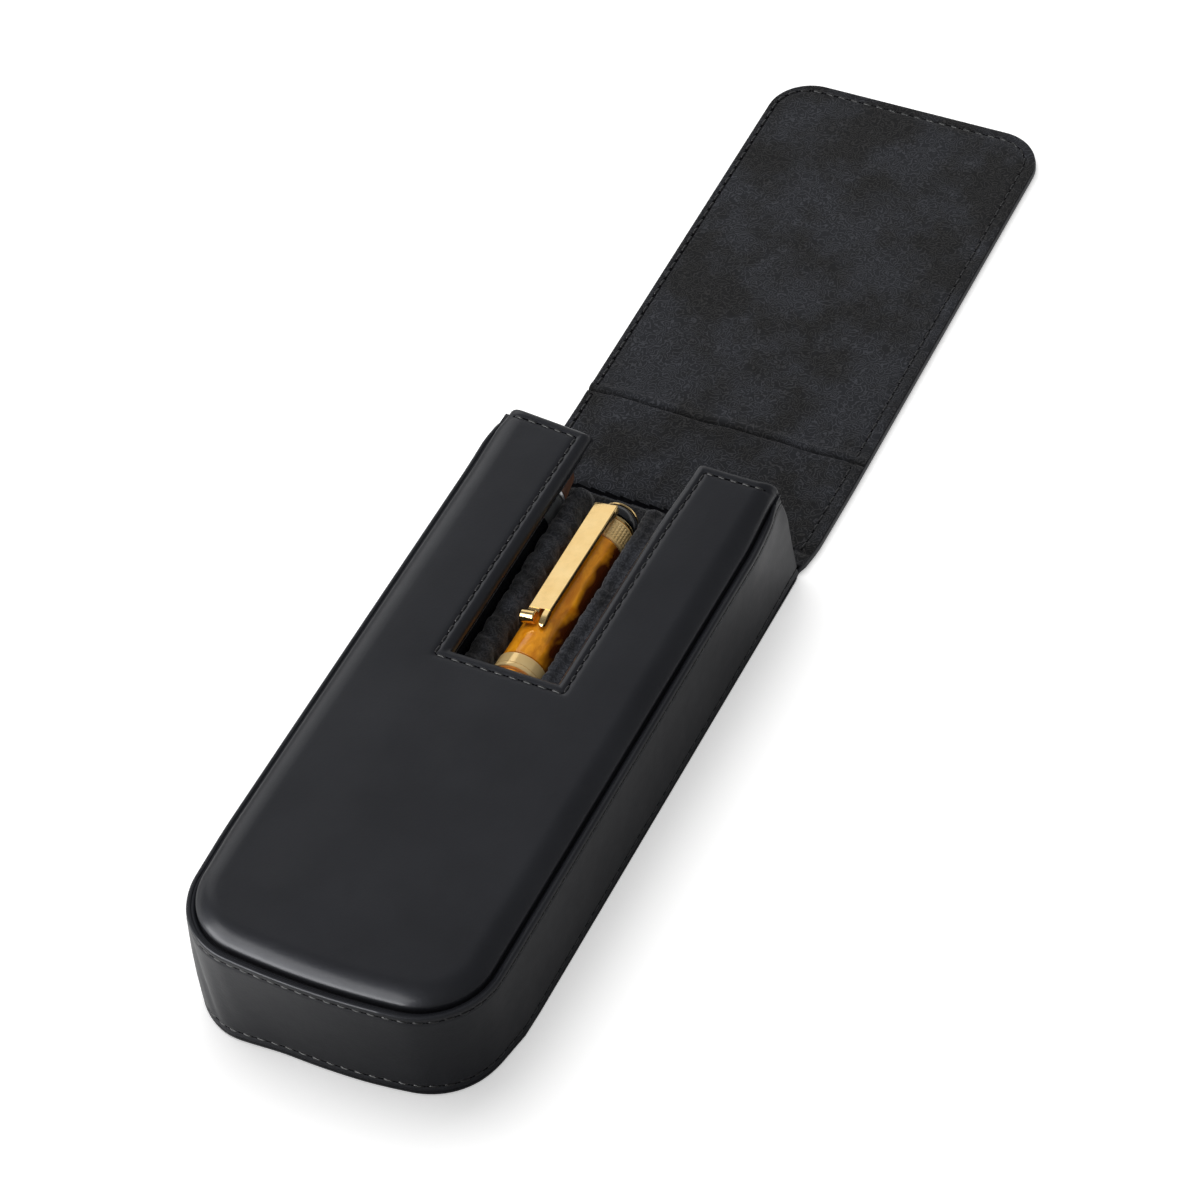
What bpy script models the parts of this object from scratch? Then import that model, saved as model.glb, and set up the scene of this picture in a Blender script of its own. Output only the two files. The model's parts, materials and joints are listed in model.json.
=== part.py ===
"""Three-slot leather pen case with a two-fold flap, lying open on its back with two pens in it.

Metres, +Z up, +Y from the closed end towards the flap. The origin lies under the middle of the
whole outline. Every shape is drawn from the mouth line (y = 0 there) and placed by its pivot.
"""

import math

import bmesh
import bpy
from mathutils import Matrix, Vector

# Clearances
GAP = 0.0003
THREAD_GAP = 0.00015

# Case body
BODY_WIDTH = 0.0760
BODY_LENGTH = 0.1775
RIM_HEIGHT = 0.0300
PLATEAU_RISE = 0.0043
CORNER_RADIUS = 0.0190
END_RADIUS = 0.1900
WALL_DRAFT = 0.0010
MOUTH_RAKE = 0.0035

# Layers of the back, the spine and the flap, from the table up
SHELL_LEATHER = 0.0010
SHELL_BOARD = 0.0008
SHELL_LINING = 0.0006

# Layers of the side wall, from outside in
WALL_LEATHER = 0.0012
WALL_BOARD = 0.0012
WALL_LINING = 0.0006
MOUTH_TURN_IN = 0.0006

# Layers of the front panel, from outside in
FRONT_LEATHER = 0.0010
FRONT_BOARD = 0.0010
FRONT_LINING = 0.0006
GROOVE_INSET = 0.0026
CROWN_WIDTH = 0.0036
EDGE_HEIGHT = 0.0014
EDGE_WIDTH = 0.0050
FLANGE_STEP = 0.0003

# Window in the front panel, open at the mouth
WINDOW_WIDTH = 0.0270
WINDOW_DEPTH = 0.0790

# Folds of the flap
ROOT_AXIS_Y = 0.0020
FOLD_ROOM = 0.0040
FOLD_MARGIN = 0.0035
FLAP_REACH = 0.1640
FLAP_SIDE_SETBACK = 0.0002
FLAP_CORNER_RADIUS = 0.0120

# Seams
THREAD_WIDTH = 0.0005
THREAD_HEIGHT = 0.0004
SEAM_INSET = 0.0020
WINDOW_SEAM_INSET = 0.0030
FLAP_SEAM_INSET = 0.0030
GROOVE_SLOPE = 0.0001
FOLD_THREAD_GAP = 0.0010

# Cradle under the pens, and the two dividers on it
CRADLE_SETBACK = 0.0040
SUEDE = 0.0006
DIVIDER_WIDTH = 0.0064
LEFT_DIVIDER_X = -0.0118
RIGHT_DIVIDER_X = 0.0123
DIVIDER_HEADROOM = 0.0009
DIVIDER_SETBACK = 0.0130
DIVIDER_FOOT_RADIUS = 0.0010
DIVIDER_END_CLEARANCE = 0.0040
RIGHT_DIVIDER_LEAN = 0.0052

# Magnets in the flap and the steel discs that they hold to
MAGNET_RADIUS = 0.0050
MAGNET_FROM_SIDE = 0.0178
MAGNET_FROM_TIP = 0.0240
DISC_THICKNESS = 0.0010

# Pens
PEN_RADIUS = 0.0064
PEN_HEADROOM = 0.0006
PEN_CHAMFER = 0.0003
AMBER_SETBACK = 0.0143
DARK_SETBACK = 0.0054
DARK_CLEARANCE = 0.0012
CLIP_WIDTH = 0.0062
CLIP_THICKNESS = 0.0010
CLIP_LENGTH = 0.0406
CLIP_LIFT = 0.0011
CLIP_FOOT_LENGTH = 0.0016
CLIP_TIP_LENGTH = 0.0040
CLIP_TURN = math.radians(10)

# Fineness of round shapes
CORNER_STEPS = 8
END_STEPS = 8
SIDE_STEPS = 8
CROWN_STEPS = 4
PEN_SIDES = 28
DISC_SIDES = 24
SMOOTH_ANGLE = math.radians(35)
LEAST_RADIUS = 0.0002

# Heights and places worked out from the sizes above
BOARD_Z = SHELL_LEATHER + GAP
LINING_Z = BOARD_Z + SHELL_BOARD + GAP
SHELL_TOP = LINING_Z + SHELL_LINING
BOARD_INSET = WALL_LEATHER + GAP
LINING_INSET = BOARD_INSET + WALL_BOARD + GAP
INNER_INSET = LINING_INSET + WALL_LINING + GAP
FLANGE_TOP = RIM_HEIGHT - FLANGE_STEP
FLANGE_BOTTOM = FLANGE_TOP - FRONT_LEATHER
FRONT_BOARD_Z = FLANGE_BOTTOM - GAP - FRONT_BOARD
FRONT_LINING_Z = FRONT_BOARD_Z - GAP - FRONT_LINING
PLATEAU_TOP = FLANGE_TOP + PLATEAU_RISE
CREASE_Y = ROOT_AXIS_Y + PLATEAU_TOP - SHELL_TOP + FOLD_ROOM
FLAP_WIDTH = BODY_WIDTH - 2 * FLAP_SIDE_SETBACK
PEN_AXIS_Z = FRONT_LINING_Z - PEN_HEADROOM - PEN_RADIUS
CRADLE_Z = SHELL_TOP + GAP
CRADLE_TOP = PEN_AXIS_Z - PEN_RADIUS - GAP
DIVIDER_Z = CRADLE_TOP + GAP
DIVIDER_HEIGHT = FRONT_LINING_Z - DIVIDER_HEADROOM - DIVIDER_Z
AMBER_X = LEFT_DIVIDER_X + DIVIDER_WIDTH / 2 + GAP + PEN_RADIUS
DARK_X = LEFT_DIVIDER_X - DIVIDER_WIDTH / 2 - DARK_CLEARANCE - PEN_RADIUS
MAGNET_X = FLAP_WIDTH / 2 - MAGNET_FROM_SIDE
MAGNET_Y = FLAP_REACH - MAGNET_FROM_TIP
DISC_Y = ROOT_AXIS_Y - (MAGNET_Y - CREASE_Y)
DISC_TOP = PLATEAU_TOP - FRONT_LEATHER - GAP
MOUTH_Y = (BODY_LENGTH - FLAP_REACH) / 2

# Finishes: colour, roughness, metallic
BLACK_LEATHER = ((0.020, 0.021, 0.024), 0.48, 0.0)
SUEDE_GREY = ((0.042, 0.045, 0.050), 0.95, 0.0)
GREY_BOARD = ((0.240, 0.220, 0.190), 0.90, 0.0)
PALE_FOAM = ((0.600, 0.580, 0.520), 0.95, 0.0)
BLACK_THREAD = ((0.012, 0.012, 0.014), 0.70, 0.0)
STEEL = ((0.560, 0.570, 0.580), 0.30, 1.0)
GOLD = ((0.860, 0.620, 0.260), 0.18, 1.0)
AMBER = ((0.500, 0.210, 0.020), 0.15, 0.0)
DARK_RESIN = ((0.030, 0.032, 0.035), 0.22, 0.0)
GREY_RESIN = ((0.080, 0.085, 0.092), 0.40, 0.0)
BROWN_WOOD = ((0.160, 0.060, 0.030), 0.45, 0.0)

# Pen pieces from the end at the mouth inwards: name, length, how much less than PEN_RADIUS
# the radius is at each end, finish
AMBER_PIECES = (
    ("amber_pen_finial", 0.0045, 0.0026, 0.0011, DARK_RESIN),
    ("amber_pen_finial_ring", 0.0010, 0.0008, 0.0008, GOLD),
    ("amber_pen_knurled_band", 0.0062, 0.0005, 0.0005, GOLD),
    ("amber_pen_cap", 0.0409, 0.0004, 0.0003, AMBER),
    ("amber_pen_cap_band", 0.0045, 0.0, 0.0, GOLD),
    ("amber_pen_barrel", 0.0760, 0.0006, 0.0018, AMBER),
    ("amber_pen_end", 0.0060, 0.0020, 0.0038, GOLD),
)
DARK_PIECES = (
    ("dark_pen_finial", 0.0090, 0.0020, 0.0009, BROWN_WOOD),
    ("dark_pen_ring", 0.0013, 0.0005, 0.0005, STEEL),
    ("dark_pen_collar", 0.0080, 0.0004, 0.0004, GREY_RESIN),
    ("dark_pen_barrel", 0.0980, 0.0, 0.0008, DARK_RESIN),
    ("dark_pen_end", 0.0180, 0.0012, 0.0030, DARK_RESIN),
)


def clear_scene():
    for obj in list(bpy.data.objects):
        bpy.data.objects.remove(obj, do_unlink=True)


def finish(name, look):
    """A material of the object's own, with the colour, roughness and metallic value of its finish."""
    colour, roughness, metallic = look
    material = bpy.data.materials.new(name)
    material.use_nodes = True
    shader = material.node_tree.nodes["Principled BSDF"]
    shader.inputs["Base Color"].default_value = (*colour, 1.0)
    shader.inputs["Roughness"].default_value = roughness
    shader.inputs["Metallic"].default_value = metallic
    material.diffuse_color = (*colour, 1.0)
    return material


def pivot(name, place, parent=None):
    """An empty at a place given from the mouth line: the frame, or the axis, that pieces hang on."""
    empty = bpy.data.objects.new(name, None)
    empty.empty_display_size = 0.01
    bpy.context.scene.collection.objects.link(empty)
    empty["place"] = place
    empty.parent = parent
    empty.location = Vector(place) - Vector(parent["place"]) if parent else (0, MOUTH_Y, 0)
    return empty


def loft(name, rings, look, parent, looped=False, smooth=False):
    """One closed solid through rings of equal count: capped at both ends, or joined last to first."""
    mesh = bmesh.new()
    rows = [[mesh.verts.new(point) for point in ring] for ring in rings]
    pairs = list(zip(rows, rows[1:]))
    if looped:
        pairs.append((rows[-1], rows[0]))
    else:
        mesh.faces.new(rows[0])
        mesh.faces.new(rows[-1])
    for low, high in pairs:
        for i in range(len(low)):
            j = (i + 1) % len(low)
            mesh.faces.new((low[i], low[j], high[j], high[i]))
    bmesh.ops.recalc_face_normals(mesh, faces=mesh.faces[:])
    data = bpy.data.meshes.new(name)
    mesh.to_mesh(data)
    mesh.free()
    data.transform(Matrix.Translation(-Vector(parent["place"])))
    if smooth:
        data.shade_smooth()
        data.set_sharp_from_angle(angle=SMOOTH_ANGLE)
    obj = bpy.data.objects.new(name, data)
    bpy.context.scene.collection.objects.link(obj)
    obj.parent = parent
    if look:
        data.materials.append(finish(name, look))
    return obj


def at_height(outline, z):
    return [(x, y, z) for x, y in outline]


def plate(name, outline, low, high, look, parent):
    """A flat layer of one outline between two heights."""
    return loft(name, [at_height(outline, low), at_height(outline, high)], look, parent)


def band(outer, inner):
    """The outline of a strip between two open paths that run the same way."""
    return outer + inner[::-1]


def lean_in(z):
    """How far the drafted wall stands inside the rim's outline at a height."""
    return WALL_DRAFT * (1 - z / RIM_HEIGHT)


def body_outline(inset, front_y=0.0):
    """Open path from the right of the mouth round the closed end to the left of the mouth."""
    half = BODY_WIDTH / 2 - inset
    corner = max(CORNER_RADIUS - inset, LEAST_RADIUS)
    end = END_RADIUS - inset
    end_centre = END_RADIUS - BODY_LENGTH
    corner_x = half - corner
    corner_y = end_centre - math.sqrt((end - corner) ** 2 - corner_x**2)
    sweep = math.asin(corner_x / (end - corner))
    turn = math.pi / 2 - sweep
    right = []
    for step in range(CORNER_STEPS + 1):
        angle = turn * step / CORNER_STEPS
        right.append((corner_x + corner * math.cos(angle), corner_y - corner * math.sin(angle)))
    across = []
    for step in range(1, END_STEPS):
        angle = sweep * (1 - 2 * step / END_STEPS)
        across.append((end * math.sin(angle), end_centre - end * math.cos(angle)))
    left = [(-x, y) for x, y in reversed(right)]
    return [(half, front_y)] + right + across + left + [(-half, front_y)]


def raked(z, setback=0.0):
    """Where the mouth's edge lies at a height: it slopes back from the table up to the rim."""
    return -MOUTH_RAKE * z / RIM_HEIGHT - setback


def wall_ring(outer_inset, inner_inset, z, setback=0.0):
    outer = body_outline(outer_inset + lean_in(z), raked(z, setback))
    inner = body_outline(inner_inset + lean_in(z), raked(z, setback))
    return at_height(band(outer, inner), z)


def front_ring(rim_inset, edge_inset, rim_z, edge_z):
    """Closed ring of the front panel: one inset and height at its rim, one at its mouth and window."""
    half_window = WINDOW_WIDTH / 2 + edge_inset
    mouth = -MOUTH_RAKE - edge_inset
    rim = body_outline(rim_inset, mouth)
    shoulder_x = rim[0][0] - CROWN_WIDTH / 2
    edge = [
        (-shoulder_x, mouth),
        (-half_window, mouth),
        (-half_window, -WINDOW_DEPTH - edge_inset),
        (half_window, -WINDOW_DEPTH - edge_inset),
        (half_window, mouth),
        (shoulder_x, mouth),
    ]
    return at_height(rim, rim_z) + at_height(edge, edge_z)


def crown_rings(inset, drop, edge_foot):
    """Rings up the rounded shoulder of the padded front, moved in by an inset and down by a drop."""
    rim_foot = FLANGE_TOP - drop
    top = PLATEAU_TOP - drop
    rings = []
    for step in range(CROWN_STEPS + 1):
        angle = math.pi / 2 * step / CROWN_STEPS
        run = 1 - math.cos(angle)
        rings.append(
            front_ring(
                GROOVE_INSET + inset + CROWN_WIDTH * run,
                inset + EDGE_WIDTH * run,
                rim_foot + (top - rim_foot) * math.sin(angle),
                edge_foot + (top - edge_foot) * math.sin(angle),
            )
        )
    return rings


def flap_outline(inset, front_y):
    """Open path from the right end of the crease round the flap's tip to the left end."""
    half = FLAP_WIDTH / 2 - inset
    radius = max(FLAP_CORNER_RADIUS - inset, LEAST_RADIUS)
    tip = FLAP_REACH - inset
    right = []
    for step in range(CORNER_STEPS + 1):
        angle = math.pi / 2 * step / CORNER_STEPS
        x = half - radius + radius * math.cos(angle)
        right.append((x, tip - radius + radius * math.sin(angle)))
    left = [(-x, y) for x, y in reversed(right)]
    return [(half, front_y)] + right + left + [(-half, front_y)]


def rectangle(half_width, low_y, high_y):
    return [(half_width, low_y), (half_width, high_y), (-half_width, high_y), (-half_width, low_y)]


def circle(x, y, radius):
    outline = []
    for side in range(DISC_SIDES):
        angle = 2 * math.pi * side / DISC_SIDES
        outline.append((x + radius * math.cos(angle), y + radius * math.sin(angle)))
    return outline


def pocket(target, name, outline, low, high, parent):
    """A hole cut in a layer by a hidden cutter."""
    cutter = plate(name, outline, low, high, None, parent)
    cutter.hide_render = True
    cutter.display_type = "WIRE"
    cut = target.modifiers.new(name, "BOOLEAN")
    cut.operation = "DIFFERENCE"
    cut.solver = "EXACT"
    cut.object = cutter


def build_back(case):
    edge = ROOT_AXIS_Y - GAP
    foot = lean_in(0)
    outline = body_outline(foot, edge)
    plate("back_leather", outline, 0, SHELL_LEATHER, BLACK_LEATHER, case)
    stiff = body_outline(LINING_INSET + foot, ROOT_AXIS_Y - FOLD_MARGIN)
    plate("back_board", stiff, BOARD_Z, BOARD_Z + SHELL_BOARD, GREY_BOARD, case)
    inner = body_outline(LINING_INSET + foot, edge)
    plate("back_lining", inner, LINING_Z, SHELL_TOP, SUEDE_GREY, case)


def seam_groove_rings(seam_z):
    """Wall rings that dip round a seam's thread."""
    half = THREAD_WIDTH / 2 + THREAD_GAP
    depth = THREAD_HEIGHT + THREAD_GAP
    return [
        wall_ring(0, WALL_LEATHER, seam_z - half - GROOVE_SLOPE),
        wall_ring(depth, WALL_LEATHER, seam_z - half),
        wall_ring(depth, WALL_LEATHER, seam_z + half),
        wall_ring(0, WALL_LEATHER, seam_z + half + GROOVE_SLOPE),
    ]


def build_wall(case):
    seams = {
        "back_seam_thread": BOARD_Z + SEAM_INSET,
        "front_seam_thread": RIM_HEIGHT - SEAM_INSET,
    }
    rings = [wall_ring(0, WALL_LEATHER, BOARD_Z)]
    for seam_z in seams.values():
        rings += seam_groove_rings(seam_z)
    rings.append(wall_ring(0, WALL_LEATHER, RIM_HEIGHT))
    loft("side_wall_leather", rings, BLACK_LEATHER, case)
    for name, seam_z in seams.items():
        heights = (seam_z - THREAD_WIDTH / 2, seam_z + THREAD_WIDTH / 2)
        loft(name, [wall_ring(0, THREAD_HEIGHT, z) for z in heights], BLACK_THREAD, case)
    board_top = FRONT_BOARD_Z - GAP
    board = [
        wall_ring(BOARD_INSET, BOARD_INSET + WALL_BOARD, z, MOUTH_TURN_IN)
        for z in (BOARD_Z, board_top)
    ]
    loft("side_wall_board", board, GREY_BOARD, case)
    lining_top = FRONT_LINING_Z - GAP
    lining = [
        wall_ring(LINING_INSET, LINING_INSET + WALL_LINING, z, MOUTH_TURN_IN)
        for z in (SHELL_TOP + GAP, lining_top)
    ]
    loft("side_wall_lining", lining, SUEDE_GREY, case)


def build_front(case):
    edge_z = FLANGE_TOP + EDGE_HEIGHT
    outer = [
        front_ring(BOARD_INSET, 0, FLANGE_BOTTOM, FLANGE_BOTTOM),
        front_ring(BOARD_INSET, 0, FLANGE_TOP, FLANGE_TOP),
    ]
    outer += crown_rings(0, 0, edge_z)
    inner = crown_rings(FRONT_LEATHER, FRONT_LEATHER, FLANGE_BOTTOM)
    loft("front_leather", inner[::-1] + outer, BLACK_LEATHER, case, smooth=True)
    pad_inset = FRONT_LEATHER + GAP
    foam = loft("front_foam", crown_rings(pad_inset, pad_inset, FLANGE_BOTTOM - GAP), PALE_FOAM, case)
    board = front_ring(BOARD_INSET, MOUTH_TURN_IN, 0, 0)
    board_outline = [(x, y) for x, y, _ in board]
    plate("front_board", board_outline, FRONT_BOARD_Z, FRONT_BOARD_Z + FRONT_BOARD, GREY_BOARD, case)
    lining = front_ring(LINING_INSET, MOUTH_TURN_IN, 0, 0)
    lining_outline = [(x, y) for x, y, _ in lining]
    lining_top = FRONT_LINING_Z + FRONT_LINING
    plate("front_lining", lining_outline, FRONT_LINING_Z, lining_top, SUEDE_GREY, case)
    build_discs(case, foam)
    build_window_seam(case, edge_z)


def build_discs(case, foam):
    """Steel discs in pockets of the front's foam, where the flap's magnets come down."""
    for side, sign in (("left", -1), ("right", 1)):
        x = sign * MAGNET_X
        low = DISC_TOP - DISC_THICKNESS
        plate(f"front_disc_{side}", circle(x, DISC_Y, MAGNET_RADIUS), low, DISC_TOP, STEEL, case)
        hole = circle(x, DISC_Y, MAGNET_RADIUS + GAP)
        pocket(foam, f"disc_pocket_{side}", hole, low - GAP, PLATEAU_TOP, case)


def build_window_seam(case, edge_z):
    """The thread along the front's mouth edges and round its window, on the rounded edge."""
    run = min(1.0, (WINDOW_SEAM_INSET + THREAD_WIDTH / 2) / EDGE_WIDTH)
    rise = math.sqrt(1 - (1 - run) ** 2)
    low = edge_z + (PLATEAU_TOP - edge_z) * rise + THREAD_GAP
    tab_end = BODY_WIDTH / 2 - BOARD_INSET - GROOVE_INSET

    def path(inset):
        half = WINDOW_WIDTH / 2 + inset
        mouth = -MOUTH_RAKE - inset
        return [
            (-tab_end, mouth),
            (-half, mouth),
            (-half, -WINDOW_DEPTH - inset),
            (half, -WINDOW_DEPTH - inset),
            (half, mouth),
            (tab_end, mouth),
        ]

    near = path(WINDOW_SEAM_INSET - THREAD_WIDTH / 2)
    far = path(WINDOW_SEAM_INSET + THREAD_WIDTH / 2)
    plate("window_seam_thread", band(near, far), low, low + THREAD_HEIGHT, BLACK_THREAD, case)


def build_cradle(case):
    foot = lean_in(CRADLE_Z)
    outer = body_outline(INNER_INSET + foot, -CRADLE_SETBACK)
    inner = body_outline(INNER_INSET + foot + SUEDE, -CRADLE_SETBACK - SUEDE)
    core = body_outline(INNER_INSET + foot + SUEDE + GAP, -CRADLE_SETBACK - SUEDE - GAP)
    cover = [
        at_height(inner, CRADLE_TOP - SUEDE),
        at_height(inner, CRADLE_Z),
        at_height(outer, CRADLE_Z),
        at_height(outer, CRADLE_TOP),
    ]
    loft("cradle_cover", cover, SUEDE_GREY, case)
    plate("cradle_foam", core, CRADLE_Z, CRADLE_TOP - SUEDE - GAP, PALE_FOAM, case)


def divider_section(x, y, inset, lean):
    """Outline across a divider: a flat foot and a round top, which may lean to the left."""
    half = DIVIDER_WIDTH / 2 - inset
    low = DIVIDER_Z + inset
    top_centre = DIVIDER_Z + DIVIDER_HEIGHT - DIVIDER_WIDTH / 2
    foot = max(DIVIDER_FOOT_RADIUS - inset, LEAST_RADIUS)
    side_z = [low + foot + (top_centre - low - foot) * step / SIDE_STEPS for step in range(SIDE_STEPS)]
    section = [(x - half + foot, y, low), (x + half - foot, y, low)]
    section += [(x + half, y, z) for z in side_z]
    for step in range(CORNER_STEPS + 1):
        angle = math.pi * step / CORNER_STEPS
        section.append((x + half * math.cos(angle), y, top_centre + half * math.sin(angle)))
    section += [(x - half, y, z) for z in reversed(side_z)]
    return [(px - lean * ((z - DIVIDER_Z) / DIVIDER_HEIGHT) ** 2, y, z) for px, y, z in section]


def build_dividers(case):
    """The left divider stands straight; the right one leans to the pen along the window."""
    near_y = -BODY_LENGTH + INNER_INSET + WALL_DRAFT + DIVIDER_END_CLEARANCE
    for side, x, lean in (("left", LEFT_DIVIDER_X, 0.0), ("right", RIGHT_DIVIDER_X, RIGHT_DIVIDER_LEAN)):
        stations = ((-DIVIDER_SETBACK, lean), (-WINDOW_DEPTH, lean), (near_y, 0.0))
        outside = [divider_section(x, y, 0, tilt) for y, tilt in stations]
        inside = [divider_section(x, y, SUEDE, tilt) for y, tilt in stations]
        cover = outside + inside[::-1]
        loft(f"divider_cover_{side}", cover, SUEDE_GREY, case, looped=True, smooth=True)
        core_stations = (
            (-DIVIDER_SETBACK - SUEDE, lean),
            (-WINDOW_DEPTH, lean),
            (near_y + SUEDE, 0.0),
        )
        core = [divider_section(x, y, SUEDE + GAP, tilt) for y, tilt in core_stations]
        loft(f"divider_core_{side}", core, PALE_FOAM, case, smooth=True)


def build_spine(spine):
    layers = (
        ("spine_leather", 0, SHELL_LEATHER, 0, GAP, BLACK_LEATHER),
        ("spine_board", BOARD_Z, SHELL_BOARD, MOUTH_TURN_IN, FOLD_MARGIN, GREY_BOARD),
        ("spine_lining", LINING_Z, SHELL_LINING, 0, GAP, SUEDE_GREY),
    )
    for name, low, thickness, inset, margin, look in layers:
        outline = rectangle(FLAP_WIDTH / 2 - inset, ROOT_AXIS_Y + margin, CREASE_Y - margin)
        plate(name, outline, low, low + thickness, look, spine)
    seam_z = SHELL_TOP + THREAD_GAP
    seam_low_y = ROOT_AXIS_Y + FOLD_THREAD_GAP
    seam_high_y = CREASE_Y - FOLD_THREAD_GAP
    for side, sign in (("left", -1), ("right", 1)):
        x = sign * (FLAP_WIDTH / 2 - FLAP_SEAM_INSET)
        strip = rectangle(THREAD_WIDTH / 2, seam_low_y, seam_high_y)
        outline = [(x + dx, y) for dx, y in strip]
        name = f"spine_seam_thread_{side}"
        plate(name, outline, seam_z, seam_z + THREAD_HEIGHT, BLACK_THREAD, spine)


def build_flap(flap):
    front_y = CREASE_Y + GAP
    outline = flap_outline(0, front_y)
    plate("flap_leather", outline, 0, SHELL_LEATHER, BLACK_LEATHER, flap)
    stiff = flap_outline(MOUTH_TURN_IN, CREASE_Y + FOLD_MARGIN)
    board = plate("flap_board", stiff, BOARD_Z, BOARD_Z + SHELL_BOARD, GREY_BOARD, flap)
    plate("flap_lining", outline, LINING_Z, SHELL_TOP, SUEDE_GREY, flap)
    for side, sign in (("left", -1), ("right", 1)):
        x = sign * MAGNET_X
        magnet = circle(x, MAGNET_Y, MAGNET_RADIUS)
        plate(f"flap_magnet_{side}", magnet, BOARD_Z, BOARD_Z + SHELL_BOARD, STEEL, flap)
        hole = circle(x, MAGNET_Y, MAGNET_RADIUS + GAP)
        pocket(board, f"magnet_pocket_{side}", hole, 0, SHELL_TOP, flap)
    seam_y = CREASE_Y + FOLD_THREAD_GAP
    seam = band(
        flap_outline(FLAP_SEAM_INSET - THREAD_WIDTH / 2, seam_y),
        flap_outline(FLAP_SEAM_INSET + THREAD_WIDTH / 2, seam_y),
    )
    seam_z = SHELL_TOP + THREAD_GAP
    plate("flap_seam_thread", seam, seam_z, seam_z + THREAD_HEIGHT, BLACK_THREAD, flap)


def turned(name, x, front_y, length, front_radius, back_radius, look, pen):
    """A piece of a pen, turned about its axis, with a small chamfer at each end."""
    stations = (
        (0, front_radius - PEN_CHAMFER),
        (PEN_CHAMFER, front_radius),
        (length - PEN_CHAMFER, back_radius),
        (length, back_radius - PEN_CHAMFER),
    )
    rings = []
    for along, radius in stations:
        ring = []
        for side in range(PEN_SIDES):
            angle = 2 * math.pi * side / PEN_SIDES
            z = PEN_AXIS_Z + radius * math.sin(angle)
            ring.append((x + radius * math.cos(angle), front_y - along, z))
        rings.append(ring)
    return loft(name, rings, look, pen, smooth=True)


def build_pen(pieces, x, setback, pen):
    """The pieces of one pen in a row, each a gap behind the one before it."""
    front_y = -setback
    for name, length, front_step, back_step, look in pieces:
        turned(name, x, front_y, length, PEN_RADIUS - front_step, PEN_RADIUS - back_step, look, pen)
        front_y -= length + GAP


def build_clip(x, pen):
    """The clip: a foot on the finial's ring, a flat arm, and a tip that comes down to the cap."""
    _, finial_length, _, _, _ = AMBER_PIECES[0]
    _, _, ring_step, _, _ = AMBER_PIECES[1]
    _, _, band_step, _, _ = AMBER_PIECES[2]
    _, _, _, cap_step, _ = AMBER_PIECES[3]
    cap_radius = PEN_RADIUS - cap_step
    foot_y = -AMBER_SETBACK - finial_length - GAP
    foot_low = PEN_RADIUS - ring_step + GAP
    arm_low = PEN_RADIUS - band_step + CLIP_LIFT
    arm_high = arm_low + CLIP_THICKNESS
    tip_y = foot_y - CLIP_LENGTH
    sections = (
        (foot_y, foot_low, foot_low + CLIP_THICKNESS / 2, CLIP_WIDTH),
        (foot_y - CLIP_FOOT_LENGTH / 2, foot_low, arm_high, CLIP_WIDTH),
        (foot_y - CLIP_FOOT_LENGTH, arm_low, arm_high, CLIP_WIDTH),
        (tip_y + CLIP_TIP_LENGTH, arm_low, arm_high, CLIP_WIDTH - CLIP_THICKNESS),
        (tip_y + CLIP_TIP_LENGTH / 2, cap_radius + GAP, arm_high, CLIP_WIDTH - CLIP_THICKNESS),
        (tip_y, cap_radius + CLIP_THICKNESS, arm_high - CLIP_THICKNESS / 2, CLIP_WIDTH / 2),
    )
    axis = Vector((x, 0, PEN_AXIS_Z))
    turn = Matrix.Rotation(-CLIP_TURN, 3, "Y")
    rings = []
    for y, low, high, width in sections:
        corners = ((-width / 2, low), (width / 2, low), (width / 2, high), (-width / 2, high))
        rings.append([axis + turn @ Vector((dx, y, dz)) for dx, dz in corners])
    loft("amber_pen_clip", rings, GOLD, pen)


def build():
    clear_scene()
    case = pivot("case_frame", (0, 0, 0))
    spine = pivot("root_fold", (0, ROOT_AXIS_Y, SHELL_TOP), case)
    flap = pivot("crease_fold", (0, CREASE_Y, SHELL_TOP), spine)
    amber = pivot("amber_pen_slide", (AMBER_X, -AMBER_SETBACK, PEN_AXIS_Z), case)
    dark = pivot("dark_pen_slide", (DARK_X, -DARK_SETBACK, PEN_AXIS_Z), case)
    build_back(case)
    build_wall(case)
    build_front(case)
    build_cradle(case)
    build_dividers(case)
    build_spine(spine)
    build_flap(flap)
    build_pen(AMBER_PIECES, AMBER_X, AMBER_SETBACK, amber)
    build_clip(AMBER_X, amber)
    build_pen(DARK_PIECES, DARK_X, DARK_SETBACK, dark)


build()
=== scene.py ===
"""Leather pen case with a two-fold flap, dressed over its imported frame.

Shapes are drawn in millimetres from the mouth line of the case, as the solids are: +Y towards the
flap, +Z up, z = 0 on the table. place() puts them in the frame, in metres.
"""

import json
import math

import bmesh
import bpy
import numpy as np
from mathutils import Matrix, Vector, noise
from mathutils.geometry import delaunay_2d_cdt


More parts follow.
